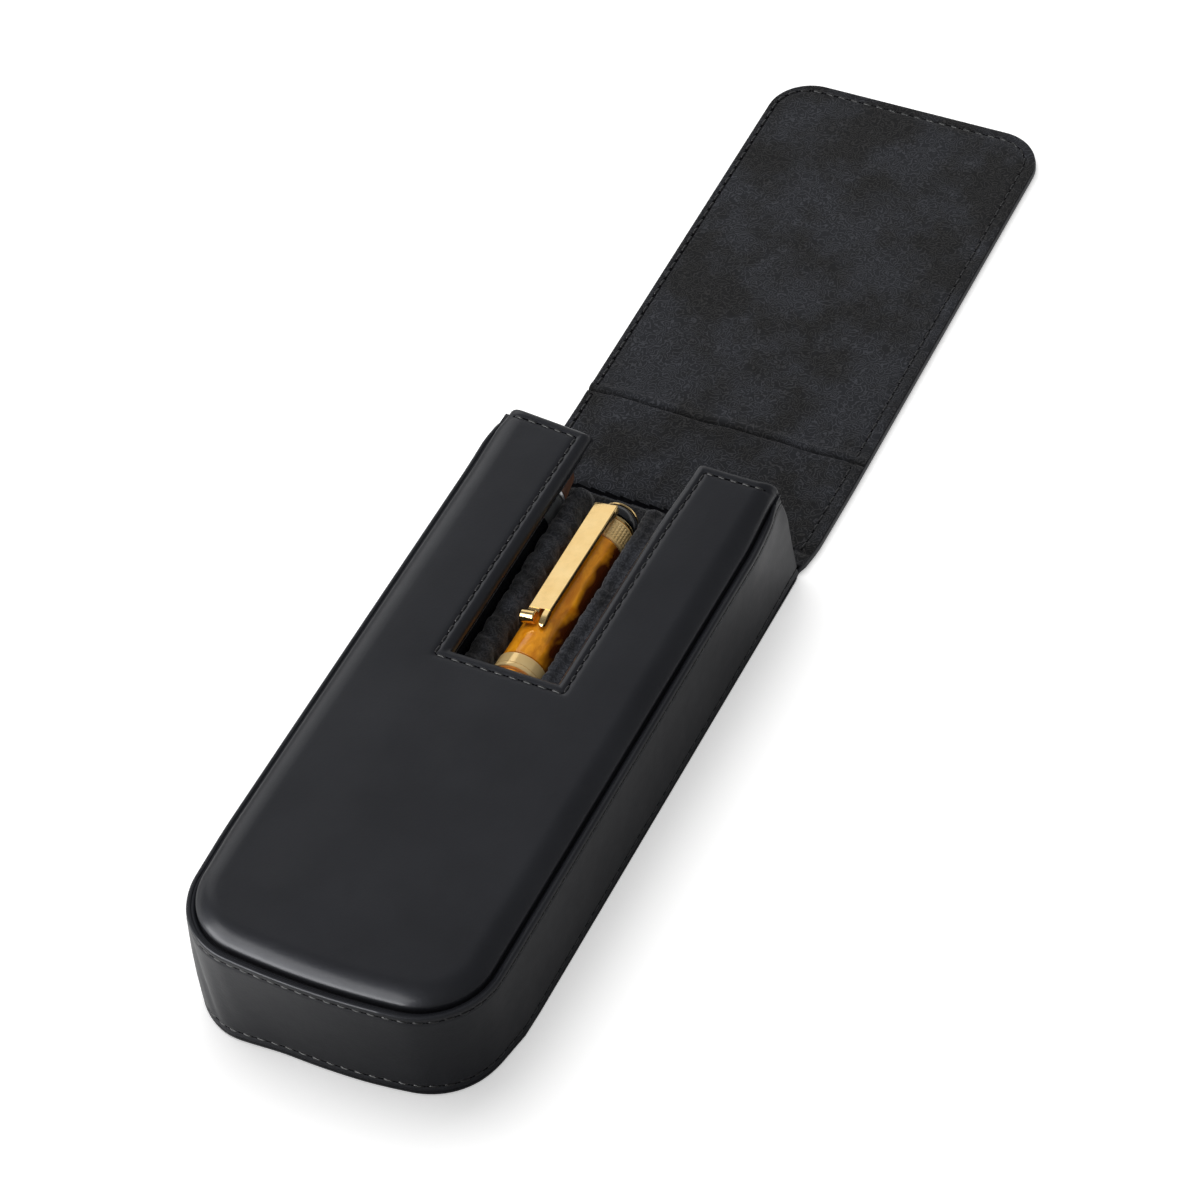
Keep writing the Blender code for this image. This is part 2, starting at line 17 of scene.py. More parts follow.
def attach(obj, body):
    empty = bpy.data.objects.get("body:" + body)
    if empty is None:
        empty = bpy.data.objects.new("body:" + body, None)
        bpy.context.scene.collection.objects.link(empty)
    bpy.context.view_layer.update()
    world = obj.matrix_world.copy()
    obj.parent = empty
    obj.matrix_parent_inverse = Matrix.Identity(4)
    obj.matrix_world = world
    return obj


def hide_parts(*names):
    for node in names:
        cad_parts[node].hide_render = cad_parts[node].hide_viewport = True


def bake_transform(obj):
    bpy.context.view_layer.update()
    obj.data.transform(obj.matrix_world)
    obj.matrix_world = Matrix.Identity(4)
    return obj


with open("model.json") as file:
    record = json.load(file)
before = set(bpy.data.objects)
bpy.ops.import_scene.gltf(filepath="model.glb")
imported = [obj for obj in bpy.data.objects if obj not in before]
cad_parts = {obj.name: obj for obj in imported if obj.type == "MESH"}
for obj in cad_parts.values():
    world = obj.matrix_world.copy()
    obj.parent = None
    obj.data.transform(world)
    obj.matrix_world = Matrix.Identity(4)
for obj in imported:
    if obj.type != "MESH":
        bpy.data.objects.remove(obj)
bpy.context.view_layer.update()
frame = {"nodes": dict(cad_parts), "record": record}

MM = 0.001
QUARTER = math.pi / 2
IN_PLAN = (1, 1, 0)

# Sizes of the solids
BODY_HALF = 38.0
BODY_LENGTH = 177.5
RIM_HEIGHT = 30.0
PLATEAU_TOP = 34.0
CORNER_RADIUS = 19.0
END_RADIUS = 190.0
WALL_DRAFT = 1.0
MOUTH_RAKE = 3.5
SHELL_TOP = 3.0
WALL_INSIDE = 3.6
FLANGE_TOP = 29.7
FLANGE_BOTTOM = 28.7
FRONT_LINING_LOW = 26.5
FRONT_LINING_HIGH = 27.1
LEDGE_INSET = 1.28
GROOVE_INSET = 2.6
WINDOW_HALF = 13.5
WINDOW_DEPTH = 79.0
ROOT_Y = 2.0
CREASE_Y = 37.0
SPINE_MIDDLE = (ROOT_Y + CREASE_Y) / 2
FLAP_HALF = 37.8
FLAP_REACH = 164.0
FLAP_CORNER = 12.0
MOUTH_Y = 6.75
CRADLE_TOP = 12.8
CRADLE_Y = -4.0
PEN_RADIUS = 6.4
PEN_Z = 19.5
AMBER_X = -1.9
DARK_X = -22.6
GAP = 0.3

# Half the bendable stretch at each fold
FOLD_HALF = 3.5


def place(points):
    """Points from the mouth line in millimetres, as points of the frame in metres."""
    placed = np.array(points, float)
    placed[:, 1] += MOUTH_Y
    return placed * MM


def ease(low, high, value):
    """Goes smoothly from 0 at low to 1 at high."""
    part = np.clip((value - low) / (high - low), 0, 1)
    return part * part * (3 - 2 * part)


def bump(value, centre, half):
    return np.exp(-(((value - centre) / half) ** 2))


def ripple(points, scale, seed=0.0):
    """Smooth noise from -1 to 1 at each point, with a wavelength for each axis in millimetres."""
    shift = np.array((seed, -seed, 3.1 * seed))
    return np.array([noise.noise(Vector(spot)) for spot in points / np.array(scale) + shift])


def steps(low, high, most):
    """Evenly spaced numbers from low to high, no further apart than asked, both ends included."""
    return list(np.linspace(low, high, max(1, math.ceil(abs(high - low) / most)) + 1))


def arc(start, end, most):
    """Cosines and sines of angles from start to end."""
    return [(math.cos(angle), math.sin(angle)) for angle in steps(start, end, most)]


# Materials


class Nodes:
    """A node tree in the making: add() makes a node and links or sets its inputs."""

    MIX_SOCKETS = {"FLOAT": (2, 3, 0), "RGBA": (6, 7, 2)}

    def __init__(self, tree):
        self.tree = tree

    def join(self, value, socket):
        if isinstance(value, bpy.types.NodeSocket):
            self.tree.links.new(value, socket)
        else:
            socket.default_value = value

    def add(self, kind, *values, settings=None, **inputs):
        """A node, its inputs given in their order or by name."""
        node = self.tree.nodes.new(kind)
        for key, value in (settings or {}).items():
            setattr(node, key, value)
        for value, socket in zip(values, node.inputs):
            self.join(value, socket)
        for key, value in inputs.items():
            self.join(value, node.inputs[key.replace("_", " ")])
        return node

    def math(self, operation, first, second=0.0):
        settings = {"operation": operation}
        return self.add("ShaderNodeMath", first, second, settings=settings).outputs[0]

    def vector(self, operation, *values, output="Vector", **inputs):
        settings = {"operation": operation}
        node = self.add("ShaderNodeVectorMath", *values, settings=settings, **inputs)
        return node.outputs[output]

    def span(self, value, low, high, start=0.0, end=1.0, easing="LINEAR"):
        """Goes from low to high as the value goes from start to end."""
        settings = {"interpolation_type": easing}
        node = self.add("ShaderNodeMapRange", value, start, end, low, high, settings=settings)
        return node.outputs["Result"]

    def mix(self, amount, first, second, kind="RGBA"):
        node = self.add("ShaderNodeMix", amount, settings={"data_type": kind})
        *sockets, result = self.MIX_SOCKETS[kind]
        for value, socket in zip((first, second), sockets):
            self.join((*value, 1.0) if isinstance(value, tuple) else value, node.inputs[socket])
        return node.outputs[result]


class Look(Nodes):
    """A surface's material, its textures laid out in the object's own metres."""

    def __init__(self, name, **plain):
        self.material = bpy.data.materials.new(name)
        self.material.use_nodes = True
        super().__init__(self.material.node_tree)
        self.shader = self.tree.nodes["Principled BSDF"]
        self.where = self.add("ShaderNodeTexCoord").outputs["Object"]
        self.set(**plain)

    def set(self, **inputs):
        for key, value in inputs.items():
            self.join(value, self.shader.inputs[key.replace("_", " ")])

    def noise(self, scale, detail=4.0, roughness=0.55, distortion=0.0, stretch=(1, 1, 1)):
        """Fractal noise from 0 to 1, its scale in waves to the metre."""
        spot = self.add("ShaderNodeMapping", Vector=self.where, Scale=stretch).outputs[0]
        shape = dict(Scale=scale, Detail=detail, Roughness=roughness, Distortion=distortion)
        return self.add("ShaderNodeTexNoise", Vector=spot, **shape).outputs["Fac"]

    def curls(self, scale, rings, wander):
        """Broken arcs like brush strokes, from -1 to 1: rings about scattered points, drawn askew."""
        drift = self.add("ShaderNodeTexNoise", Vector=self.where, Scale=scale * 0.8, Detail=2.0)
        spot = self.vector("MULTIPLY_ADD", drift.outputs["Color"], (wander,) * 3, self.where)
        rise = self.add("ShaderNodeTexVoronoi", Vector=spot, Scale=scale).outputs["Distance"]
        return self.span(self.math("SINE", self.math("MULTIPLY", rise, rings)), -1.0, 1.0)

    def ramp(self, value, *stops):
        """Colours along a value, each stop a position and a colour."""
        node = self.add("ShaderNodeValToRGB", value)
        for mark, (position, colour) in zip(node.color_ramp.elements, stops):
            mark.position = position
            mark.color = (*colour, 1.0)
        return node.outputs["Color"]

    def relief(self, *layers):
        """Bumps laid over each other, each a height, a depth in metres and a strength."""
        normal = None
        for height, depth, strength in layers:
            node = self.add("ShaderNodeBump", Height=height, Distance=depth, Strength=strength)
            if normal:
                self.join(normal, node.inputs["Normal"])
            normal = node.outputs["Normal"]
        self.set(Normal=normal)


def leather_look():
    """Smooth black calf: a fine pore grain, faint cloudy tone and slightly uneven gloss."""
    look = Look("smooth_leather", Specular_IOR_Level=0.26, Coat_Weight=0.43, Coat_Roughness=0.23)
    low, high = (0.0086, 0.0091, 0.0114), (0.0122, 0.0129, 0.0158)
    look.set(
        Specular_Tint=(0.86, 0.89, 1.0, 1.0),
        Base_Color=look.ramp(look.noise(45, 3), (0.3, low), (0.72, high)),
        Roughness=look.span(look.noise(120, 5), 0.42, 0.52, 0.3, 0.7),
    )
    pores = look.add("ShaderNodeTexVoronoi", Vector=look.where, Scale=1500).outputs["Distance"]
    creases = look.noise(700, 6, 0.65)
    look.relief((pores, 0.00006, 0.22), (creases, 0.00010, 0.18), (look.noise(90, 2), 0.0006, 0.12))
    return look.material


def suede_look(name, gain, brushed):
    """Dark grey suede: brushed strokes in short curls, cloudy patches and a fine nap."""
    look = Look(name, Specular_IOR_Level=0.12, Roughness=0.96, Sheen_Weight=0.22)
    look.set(Sheen_Roughness=0.45)
    patches = look.noise(52, 4, 0.62)
    curls = look.math("MULTIPLY", look.curls(410, 26.0, 0.0036), brushed)
    fuzz = look.math("MULTIPLY", look.noise(900, 3, 0.6, 2.4), 1.1 - brushed)
    strokes = look.math("ADD", curls, fuzz)
    nap = look.noise(3400, 3, 0.7)
    dark = look.ramp(strokes, (0.32, (0.0064, 0.0062, 0.0064)), (0.68, (0.0290, 0.0280, 0.0276)))
    light = look.ramp(strokes, (0.32, (0.0150, 0.0160, 0.0195)), (0.68, (0.0480, 0.0500, 0.0580)))
    tone = look.mix(look.span(patches, 0.0, 1.0, 0.41, 0.58), dark, light)
    tone = look.mix(look.span(nap, 0.0, 0.40, 0.3, 0.7), tone, (0.016, 0.017, 0.019))
    look.set(Base_Color=look.vector("SCALE", tone, Scale=gain))
    look.relief((strokes, 0.00016, 0.38), (nap, 0.00012, 0.50))
    return look.material


def thread_look():
    """Waxed thread: dark, a little glossy, twisted."""
    look = Look("waxed_thread", Specular_IOR_Level=0.6, Roughness=0.36)
    twist = look.noise(1700, 2, 0.5, 0.4, (1.0, 1.0, 2.2))
    low, high = (0.005, 0.0052, 0.006), (0.016, 0.0165, 0.018)
    look.set(Base_Color=look.ramp(twist, (0.35, low), (0.65, high)))
    look.relief((twist, 0.00012, 0.6))
    return look.material


# Dark needle holes; the same finish is painted shade on the lining's band at the root fold
def hole_look():
    look = Look("needle_hole_and_root_shade", Specular_IOR_Level=0.05, Roughness=1.0)
    low, high = (0.001, 0.001, 0.0012), (0.004, 0.004, 0.005)
    look.set(Base_Color=look.ramp(look.noise(1500), (0.3, low), (0.7, high)))
    return look.material


def gold_look(name, metallic, low_gloss, high_gloss):
    look = Look(name, Metallic=metallic)
    low, high = (0.90, 0.62, 0.26), (0.96, 0.70, 0.33)
    look.set(Base_Color=look.ramp(look.noise(180, 2), (0.3, low), (0.7, high)))
    look.set(Roughness=look.span(look.noise(600, 5, 0.6), low_gloss, high_gloss, 0.3, 0.7))
    look.relief((look.noise(260, 2), 0.00005, 0.15))
    return look.material


def amber_look():
    """Honey resin with brown clouds through it, polished, and browner down its right side, which is
    painted shade.
    """
    look = Look("amber_resin", Roughness=0.10, Specular_IOR_Level=0.5)
    look.set(Coat_Weight=0.35, Coat_Roughness=0.05)
    clouds = look.noise(95, 3, 0.5, 0.5, (1.0, 0.7, 1.0))
    veins = look.noise(300, 3, 0.6, 1.4, (1.0, 0.4, 1.0))
    honey = look.ramp(veins, (0.30, (0.60, 0.19, 0.006)), (0.70, (0.90, 0.37, 0.014)))
    # Painted shade: the resin goes browner towards its right side, across the scene's X, on top of
    # its brown clouds
    across = look.add("ShaderNodeSeparateXYZ", look.where).outputs["X"]
    side = look.span(across, -0.9, 0.9, (AMBER_X - 0.9) * MM, (AMBER_X + 5.8) * MM)
    shade = look.math("ADD", side, look.span(clouds, -0.75, 0.75, 0.28, 0.72))
    brown = look.span(shade, 0.0, 1.0, 0.05, 0.75)
    look.set(Base_Color=look.mix(brown, honey, (0.065, 0.013, 0.002)))
    look.relief((clouds, 0.00006, 0.08))
    return look.material


def plain_look(
    name, low, high, scale, rough, metallic=0.0, specular=0.5, depth=0.00004, stretch=(1, 1, 1)
):
    """A quiet finish: two near tones through noise, and a shallow relief."""
    look = Look(name, Metallic=metallic, Specular_IOR_Level=specular)
    grain = look.noise(scale, 4, 0.6, 0.3, stretch)
    look.set(Base_Color=look.ramp(grain, (0.32, low), (0.68, high)))
    look.set(Roughness=look.span(grain, rough * 0.85, min(1.0, rough * 1.15), 0.3, 0.7))
    look.relief((grain, depth, 0.3))
    return look.material


# The rolls' suede is less brushed, and is a lighter copy of the suede: painted light for the rolls
# down in the window's shade
ROLL_SUEDE_PAINTED_LIGHTER = suede_look("soft_suede", 1.30, 0.12)
HOLE_AND_ROOT_SHADE = hole_look()
# Lighter copies of the gold for the knurled band and the cap's band: less metallic, so that diffuse
# light brightens them where polished gold would reflect the shade round it; painted light
KNURLED_GOLD = gold_look("knurled_gold", 0.42, 0.20, 0.30)
BAND_GOLD = gold_look("band_gold", 0.45, 0.10, 0.22)

# The finish of each of the record's material slots
LEATHER = leather_look()
SUEDE = suede_look("brushed_suede", 1.12, 0.52)
THREAD = thread_look()
GOLD = gold_look("polished_gold", 1.0, 0.10, 0.22)
AMBER = amber_look()
BOARD = plain_look("grey_board", (0.20, 0.18, 0.15), (0.29, 0.26, 0.22), 900, 0.9, specular=0.2)
FOAM = plain_look("pale_foam", (0.52, 0.50, 0.44), (0.66, 0.63, 0.56), 1500, 0.95, specular=0.1)
STEEL = plain_look("bright_steel", (0.80, 0.81, 0.82), (0.92, 0.93, 0.94), 500, 0.30, 1.0)
DARK_RESIN = plain_look("black_resin", (0.010, 0.011, 0.013), (0.017, 0.018, 0.021), 200, 0.16)
GREY_RESIN = plain_look("grey_resin", (0.150, 0.160, 0.165), (0.210, 0.220, 0.228), 300, 0.42)
WOOD = plain_look(
    "brown_wood",
    (0.090, 0.032, 0.014),
    (0.230, 0.092, 0.045),
    500,
    0.42,
    depth=0.0001,
    stretch=(1.0, 0.16, 1.0),
)
FINISHES = {
    "leather": LEATHER,
    "suede": SUEDE,
    "board": BOARD,
    "foam": FOAM,
    "thread": THREAD,
    "steel": STEEL,
    "gold": GOLD,
    "amber_resin": AMBER,
    "dark_resin": DARK_RESIN,
    "grey_resin": GREY_RESIN,
    "brown_wood": WOOD,
}


# Mesh helpers

# Faces smaller than this, in square metres, would shade wrong if smooth
SLIVER = 1e-11


def add_piece(name, points, faces, material, sharp=38, warp=None):
    """A mesh object from points in millimetres, smooth but for edges sharper than some degrees."""
    if warp:
        points = warp(np.array(points, float))
    shape = bmesh.new()
    corners = [shape.verts.new(point) for point in place(points)]
    for face in faces:
        shape.faces.new([corners[i] for i in face])
    bmesh.ops.recalc_face_normals(shape, faces=shape.faces[:])
    data = bpy.data.meshes.new(name)
    shape.to_mesh(data)
    shape.free()
    data.shade_smooth()
    data.set_sharp_from_angle(angle=math.radians(sharp))
    for face in data.polygons:
        if face.area < SLIVER:
            for loop in face.loop_indices:
                data.edges[data.loops[loop].edge_index].use_edge_sharp = True
    data.materials.append(material)
    piece = bpy.data.objects.new(name, data)
    bpy.context.scene.collection.objects.link(piece)
    return piece


def bind(piece, body, *nodes, slot=None, fill=None):
    """A piece moves with a body and stands for nodes. The slot and the padding it may name are not
    used.
    """
    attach(piece, body)
    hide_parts(*nodes)


def band_faces(rows, count, first=0):
    """Quads between closed rings of equal count, one after another."""
    faces = []
    for low in range(first, first + (rows - 1) * count, count):
        for i in range(count):
            j = (i + 1) % count
            faces.append((low + i, low + j, low + count + j, low + count + i))
    return faces


def tube_faces(rows, count, first=0):
    """The same, with a face over each end."""
    last = first + (rows - 1) * count
    ends = [list(range(start, start + count)) for start in (first, last)]
    return band_faces(rows, count, first) + ends


def inside_polygon(points, ring):
    """Which plan points lie inside a closed ring."""
    x, y = points[:, 0][:, None], points[:, 1][:, None]
    x0, y0 = ring[:, 0][None], ring[:, 1][None]
    x1, y1 = np.roll(ring[:, 0], -1)[None], np.roll(ring[:, 1], -1)[None]
    crosses = (y0 > y) != (y1 > y)
    slope = np.where(y1 == y0, 1.0, y1 - y0)
    return (crosses & (x < (x1 - x0) * (y - y0) / slope + x0)).sum(axis=1) % 2 == 1


def fill(ring, loose):
    """Triangles over a ring in plan and the loose points in it: new plan points, then faces."""
    keep = loose[inside_polygon(loose, ring)]
    if len(keep):
        gaps = [np.hypot(*(ring - point).T).min() for point in keep]
        keep = keep[np.array(gaps) > 0.35]
    count = len(ring)
    everything = [Vector(point) for point in np.vstack([ring, keep])]
    made, _, faces, origin, _, _ = delaunay_2d_cdt(everything, [], [list(range(count))], 1, 1e-7)
    extra, index = [], []
    for point, sources in zip(made, origin):
        on_ring = [i for i in sources if i < count]
        if on_ring:
            index.append(on_ring[0])
        else:
            index.append(count + len(extra))
            extra.append(tuple(point))
    return extra, [[index[i] for i in face] for face in faces]


class Loop:
    """A closed plan outline. Each point has a path for the rim's inset and one for the edge's."""

    def __init__(self):
        self.points, self.rim, self.edge = [], [], []

    def add(self, point, rim=(0, 0), edge=(0, 0)):
        self.points.append(point)
        self.rim.append(rim)
        self.edge.append(edge)

    def mirror(self, first, last):
        """Adds some of the points once more, on the other side and in reverse."""
        for k in reversed(range(first, last)):
            sides = self.points[k], self.rim[k], self.edge[k]
            self.add(*[(-x, y) for x, y in sides])

    def at(self, rim, edge=0.0):
        return np.array(self.points) + rim * np.array(self.rim) + edge * np.array(self.edge)


def slab(name, loop, profile, loose, material, shape=None, sharp=38, warp=None):
    """A closed body: rings up a profile of rim inset, edge inset and height, filled at both ends."""
    count = len(loop.points)
    rings = [loop.at(rim, edge) for rim, edge, _ in profile]
    heights = [height for _, _, height in profile]
    points = [(x, y, height) for ring, height in zip(rings, heights) for x, y in ring]
    faces = band_faces(len(rings), count)
    for row in (0, len(rings) - 1):
        extra, triangles = fill(rings[row], loose)
        base = len(points)
        points += [(x, y, heights[row]) for x, y in extra]
        for face in triangles:
            faces.append([row * count + i if i < count else base + i - count for i in face])
    points = np.array(points)
    return add_piece(name, shape(points) if shape else points, faces, material, sharp, warp)


def plan_grid(half, ys, step):
    return np.array([(x, y) for y in ys for x in steps(-half, half, step)[1:-1]])


# The body's outline in plan

CORNER_X = BODY_HALF - CORNER_RADIUS
END_CENTRE = END_RADIUS - BODY_LENGTH
CORNER_Y = END_CENTRE - math.sqrt((END_RADIUS - CORNER_RADIUS) ** 2 - CORNER_X**2)
SWEEP = math.asin(CORNER_X / (END_RADIUS - CORNER_RADIUS))
TURN = QUARTER - SWEEP

# How far down the sides the mouth edge's inset is taken up
EDGE_REACH = 24.0


def round_end(step):
    """Points and outward normals from the right corner's start round to the left corner's end."""
    half = []
    for nx, down in arc(0, TURN, step / CORNER_RADIUS):
        half.append(((CORNER_X + CORNER_RADIUS * nx, CORNER_Y - CORNER_RADIUS * down), (nx, -down)))
    for down, nx in arc(SWEEP, 0, step / END_RADIUS)[1:]:
        half.append(((END_RADIUS * nx, END_CENTRE - END_RADIUS * down), (nx, -down)))
    return half + [((-x, y), (-nx, ny)) for (x, y), (nx, ny) in reversed(half[:-1])]


def body_inset(x, y):
    """How far inside the body's outline plan points lie."""
    x = np.abs(x)
    to_corner = CORNER_RADIUS - np.hypot(x - CORNER_X, y - CORNER_Y)
    to_end = END_RADIUS - np.hypot(x, y - END_CENTRE)
    to_side = BODY_HALF - x
    angle = np.arctan2(CORNER_Y - y, x - CORNER_X)
    in_corner = (x > CORNER_X) & (y < CORNER_Y) & (angle < TURN)
    straight = np.where(y > CORNER_Y, to_side, np.minimum(to_side, to_end))
    return np.where(in_corner, to_corner, straight)


def move_out(points, out):
    """Moves points away from the middle of the body's outline."""
    x, y = points[:, 0].copy(), points[:, 1].copy()
    step = 0.05
    points[:, 0] -= out * (body_inset(x + step, y) - body_inset(x - step, y)) / (2 * step)
    points[:, 1] -= out * (body_inset(x, y + step) - body_inset(x, y - step)) / (2 * step)


def settle(points):
    """The case as it has set in use: its mouth leans to the left, its left side stands out."""
    x, y, z = points.T
    up = np.clip(z / RIM_HEIGHT, 0, 1)
    left, right = ease(-22, -36, x), ease(14, 36, x)
    near_mouth = ease(-26, 0, y)
    points[:, 0] -= 0.7 * left * up * ease(-165, -140, y) + 0.6 * left * near_mouth * up
    points[:, 0] -= (0.3 + 1.5 * ease(34.5, 36.5, x)) * right * near_mouth * up**0.8
    # The window's right edge bows into the right tab
    points[:, 0] += 0.9 * bump(x, WINDOW_HALF, 6) * ease(-30, -4, y) * ease(27, 29, z)
    # The mouth's edge runs aslant on the left tab
    across = np.clip((-x - WINDOW_HALF) / 23.5, 0, 1.1)
    slant = np.where(x < 0, 2.1 * across - 0.7, 0.9 * ease(29, 37, x))
    points[:, 1] += slant * ease(5, 13.5, np.abs(x)) * ease(-16, -3, y) * up
    return points


def foot_lean(x, y):
    """How far the foot of the wall stands inside the rim, round the outline."""
    end = ease(-148, -166, y)
    corner = ease(8, 27, np.abs(x)) * end
    sides = np.where(x > 0, 0.35, 1.0) * (1 - end)
    across = 1.6 * end * (1 - corner)
    return sides + across + corner * np.where(x > 0, 2.1, -0.2)


def body_loop(mouth, side_ys, step, across, butt=False):
    """The body's outline, its mouth edge either an edge of its own or a plain cut."""
    loop = Loop()
    pull = 0 if butt else -1
    for y in side_ys:
        loop.add((BODY_HALF, y), (-1, 0), (0, pull * max(0, 1 - (mouth - y) / EDGE_REACH)))
    for point, (nx, ny) in round_end(step)[1:-1]:
        loop.add(point, (-nx, -ny))
    loop.mirror(0, len(side_ys))
    for x in across:
        loop.add((x, mouth), (-x / BODY_HALF, 0), (0, pull))
    return loop


def down_side(mouth, step, fine=()):
    """Places down the straight side from the mouth to the corner, with fine stretches."""
    ys = {mouth, CORNER_Y, *steps(mouth, CORNER_Y, step)}
    for high, low, small in fine:
        ys = {y for y in ys if not low < y < high or y in (mouth, CORNER_Y)}
        ys.update(y for y in steps(high, low, small) if CORNER_Y < y < mouth)
    return sorted(ys, reverse=True)


# Padded front

EDGE_ROUND = 2.1
SEAM_FROM_EDGE = 3.0
GROOVE_LOW = 28.4
CROWN_RADIUS = 5.0
CROWN_TILT = math.radians(64)
CROWN_RUN = CROWN_RADIUS * math.sin(CROWN_TILT)
CROWN_DROP = CROWN_RADIUS * (1 - math.cos(CROWN_TILT))
SIDE_RUN = 0.35
OVERHANG = 0.6
CHANNEL_DEPTH = 0.30
SWELL = 0.16
CORNER_POWER = 8
FRONT_STEP = 0.9

# The leather's turned-in underside at the window and the mouth: how far in, and how far up
TURNED_IN = ((1.5, 0.0), (0.8, 0.2), (0.35, 0.4), (0.12, 0.6), (0.0, 0.8))

# Rings over the front: insets from the rim, past the groove, and from the window and the mouth
LEDGE_RINGS = (LEDGE_INSET, LEDGE_INSET + 0.03, 1.6, 1.9, 2.1, 2.25, 2.4, 2.5)
CROWN_RINGS = (0, 0.06, 0.12, 0.18, 0.24, 0.30, 0.35, 0.42, 0.5, 0.62)
CROWN_RINGS += (0.78, 1.0, 1.3, 1.65, 2.05, 2.5, 3.0, 3.6, 4.3, 5.1)
EDGE_RINGS = (0, 0.02, 0.06, 0.13, 0.22, 0.34, 0.48, 0.64, 0.82, 1.02, 1.24, 1.48, 1.74, 2.0)
EDGE_RINGS += (2.2, 2.4, 2.55, 2.68, 2.8, 2.9, 3.0, 3.1, 3.2, 3.32, 3.5, 3.8, 4.4, 5.4)


def window_distances(x, y):
    """Distances into the leather from the mouth edge and from the window."""
    beside = np.maximum(np.abs(x) - WINDOW_HALF, 0)
    below = np.maximum(-WINDOW_DEPTH - y, 0)
    return -MOUTH_RAKE - y, (beside**CORNER_POWER + below**CORNER_POWER) ** (1 / CORNER_POWER)


def rounded_drop(distance, radius):
    near = np.clip(radius - distance, 0, radius)
    return radius - np.sqrt(np.maximum(radius**2 - near**2, 0))


def front_height(x, y):
    """Height of the padded front's outside over a plan point."""
    inset = body_inset(x, y)
    run = inset - GROOVE_INSET
    from_mouth, from_window = window_distances(x, y)
    low = GROOVE_LOW + (FLANGE_TOP - GROOVE_LOW) * ease(7.0, 2.0, from_mouth)
    reach = np.clip(SIDE_RUN + CROWN_RUN - run, 0, CROWN_RUN)
    crown = CROWN_RADIUS - np.sqrt(CROWN_RADIUS**2 - reach**2)
    side = (PLATEAU_TOP - GROOVE_LOW - CROWN_DROP) * np.clip(1 - run / SIDE_RUN, 0, 1)
    ledge = FLANGE_TOP - (FLANGE_TOP - low) * ease(-0.6, 0.0, run)
    rim_drop = np.where(run < 0, PLATEAU_TOP - ledge, np.minimum(crown + side, PLATEAU_TOP - low))
    edge_drops = [rounded_drop(distance, EDGE_ROUND) ** 2 for distance in (from_mouth, from_window)]
    drop = np.sqrt(rim_drop**2 + edge_drops[0] + edge_drops[1])
    to_seam = np.minimum(from_mouth, from_window)
    on_top = ease(GROOVE_INSET + 0.6, GROOVE_INSET + 2.4, inset)
    drop = drop + CHANNEL_DEPTH * on_top * bump(to_seam, SEAM_FROM_EDGE, 0.55)
    return PLATEAU_TOP - drop + SWELL * ease(4, 26, inset) * ease(3.5, 18, to_seam)


def front_outline():
    """The body's outline, with the mouth's two tabs and the window between them."""
    fine = ((-MOUTH_RAKE, -MOUTH_RAKE - 8, 0.5),)
    loop = body_loop(-MOUTH_RAKE, down_side(-MOUTH_RAKE, 1.6, fine), FRONT_STEP, ())
    first = len(loop.points)
    for x in steps(-BODY_HALF, -WINDOW_HALF, FRONT_STEP)[1:-1]:
        part = (-x - WINDOW_HALF) / (BODY_HALF - WINDOW_HALF)
        loop.add((x, -MOUTH_RAKE), (part, 0), (part - 1, -1))
    for y in steps(-MOUTH_RAKE, -WINDOW_DEPTH, FRONT_STEP):
        loop.add((-WINDOW_HALF, y), (0, 0), (-1, -1))
    last = len(loop.points)
    for x in steps(-WINDOW_HALF, WINDOW_HALF, FRONT_STEP)[1:-1]:
        loop.add((x, -WINDOW_DEPTH), (0, 0), (x / WINDOW_HALF, -1))
    loop.mirror(first, last)
    return loop


def front_shape(points):
    """Lifts the front's flat top to its padded surface, and lets its crown stand out."""
    top = points[:, 2] > PLATEAU_TOP - 0.5
    x, y = points[:, 0], points[:, 1]
    surface = front_height(x, y)
    near = ease(3.2, 1.8, np.minimum(*window_distances(x, y)))
    raised = points[:, 2] + near * (0.7 + 2.6 * (points[:, 2] - FLANGE_BOTTOM))
    under = np.minimum(raised, np.maximum(points[:, 2], surface - 0.3))
    points[:, 2] = np.where(top, surface, under)
    flat = ease(3, 9, body_inset(x, y))
    points[:, 2] += np.where(top, 0.10 * flat * ripple(points * IN_PLAN, (17, 24, 9), 2.0), 0)
    z = points[:, 2]
    out = OVERHANG * ease(GROOVE_LOW, GROOVE_LOW + 2.4, z)
    out = out * ease(PLATEAU_TOP - 0.1, PLATEAU_TOP - CROWN_DROP, z)
    move_out(points, out * top * ease(9, 6, body_inset(x, y)) * ease(2, 7, window_distances(x, y)[0]))
    return points


def build_front():
    rims = LEDGE_RINGS + tuple(GROOVE_INSET + run for run in CROWN_RINGS)
    profile = [(LEDGE_INSET, turned_in, FLANGE_BOTTOM + up) for turned_in, up in TURNED_IN]
    profile += [(rim, edge, PLATEAU_TOP) for rim, edge in zip(rims, EDGE_RINGS)]
    loose = plan_grid(BODY_HALF, steps(-MOUTH_RAKE, -BODY_LENGTH, 1.7), 1.7)
    cover = slab(
        "front_cover", front_outline(), profile, loose, LEATHER, front_shape, 60, settle
    )
    bind(cover, "case", "front_leather", "front_foam", slot="leather", fill=0.9)


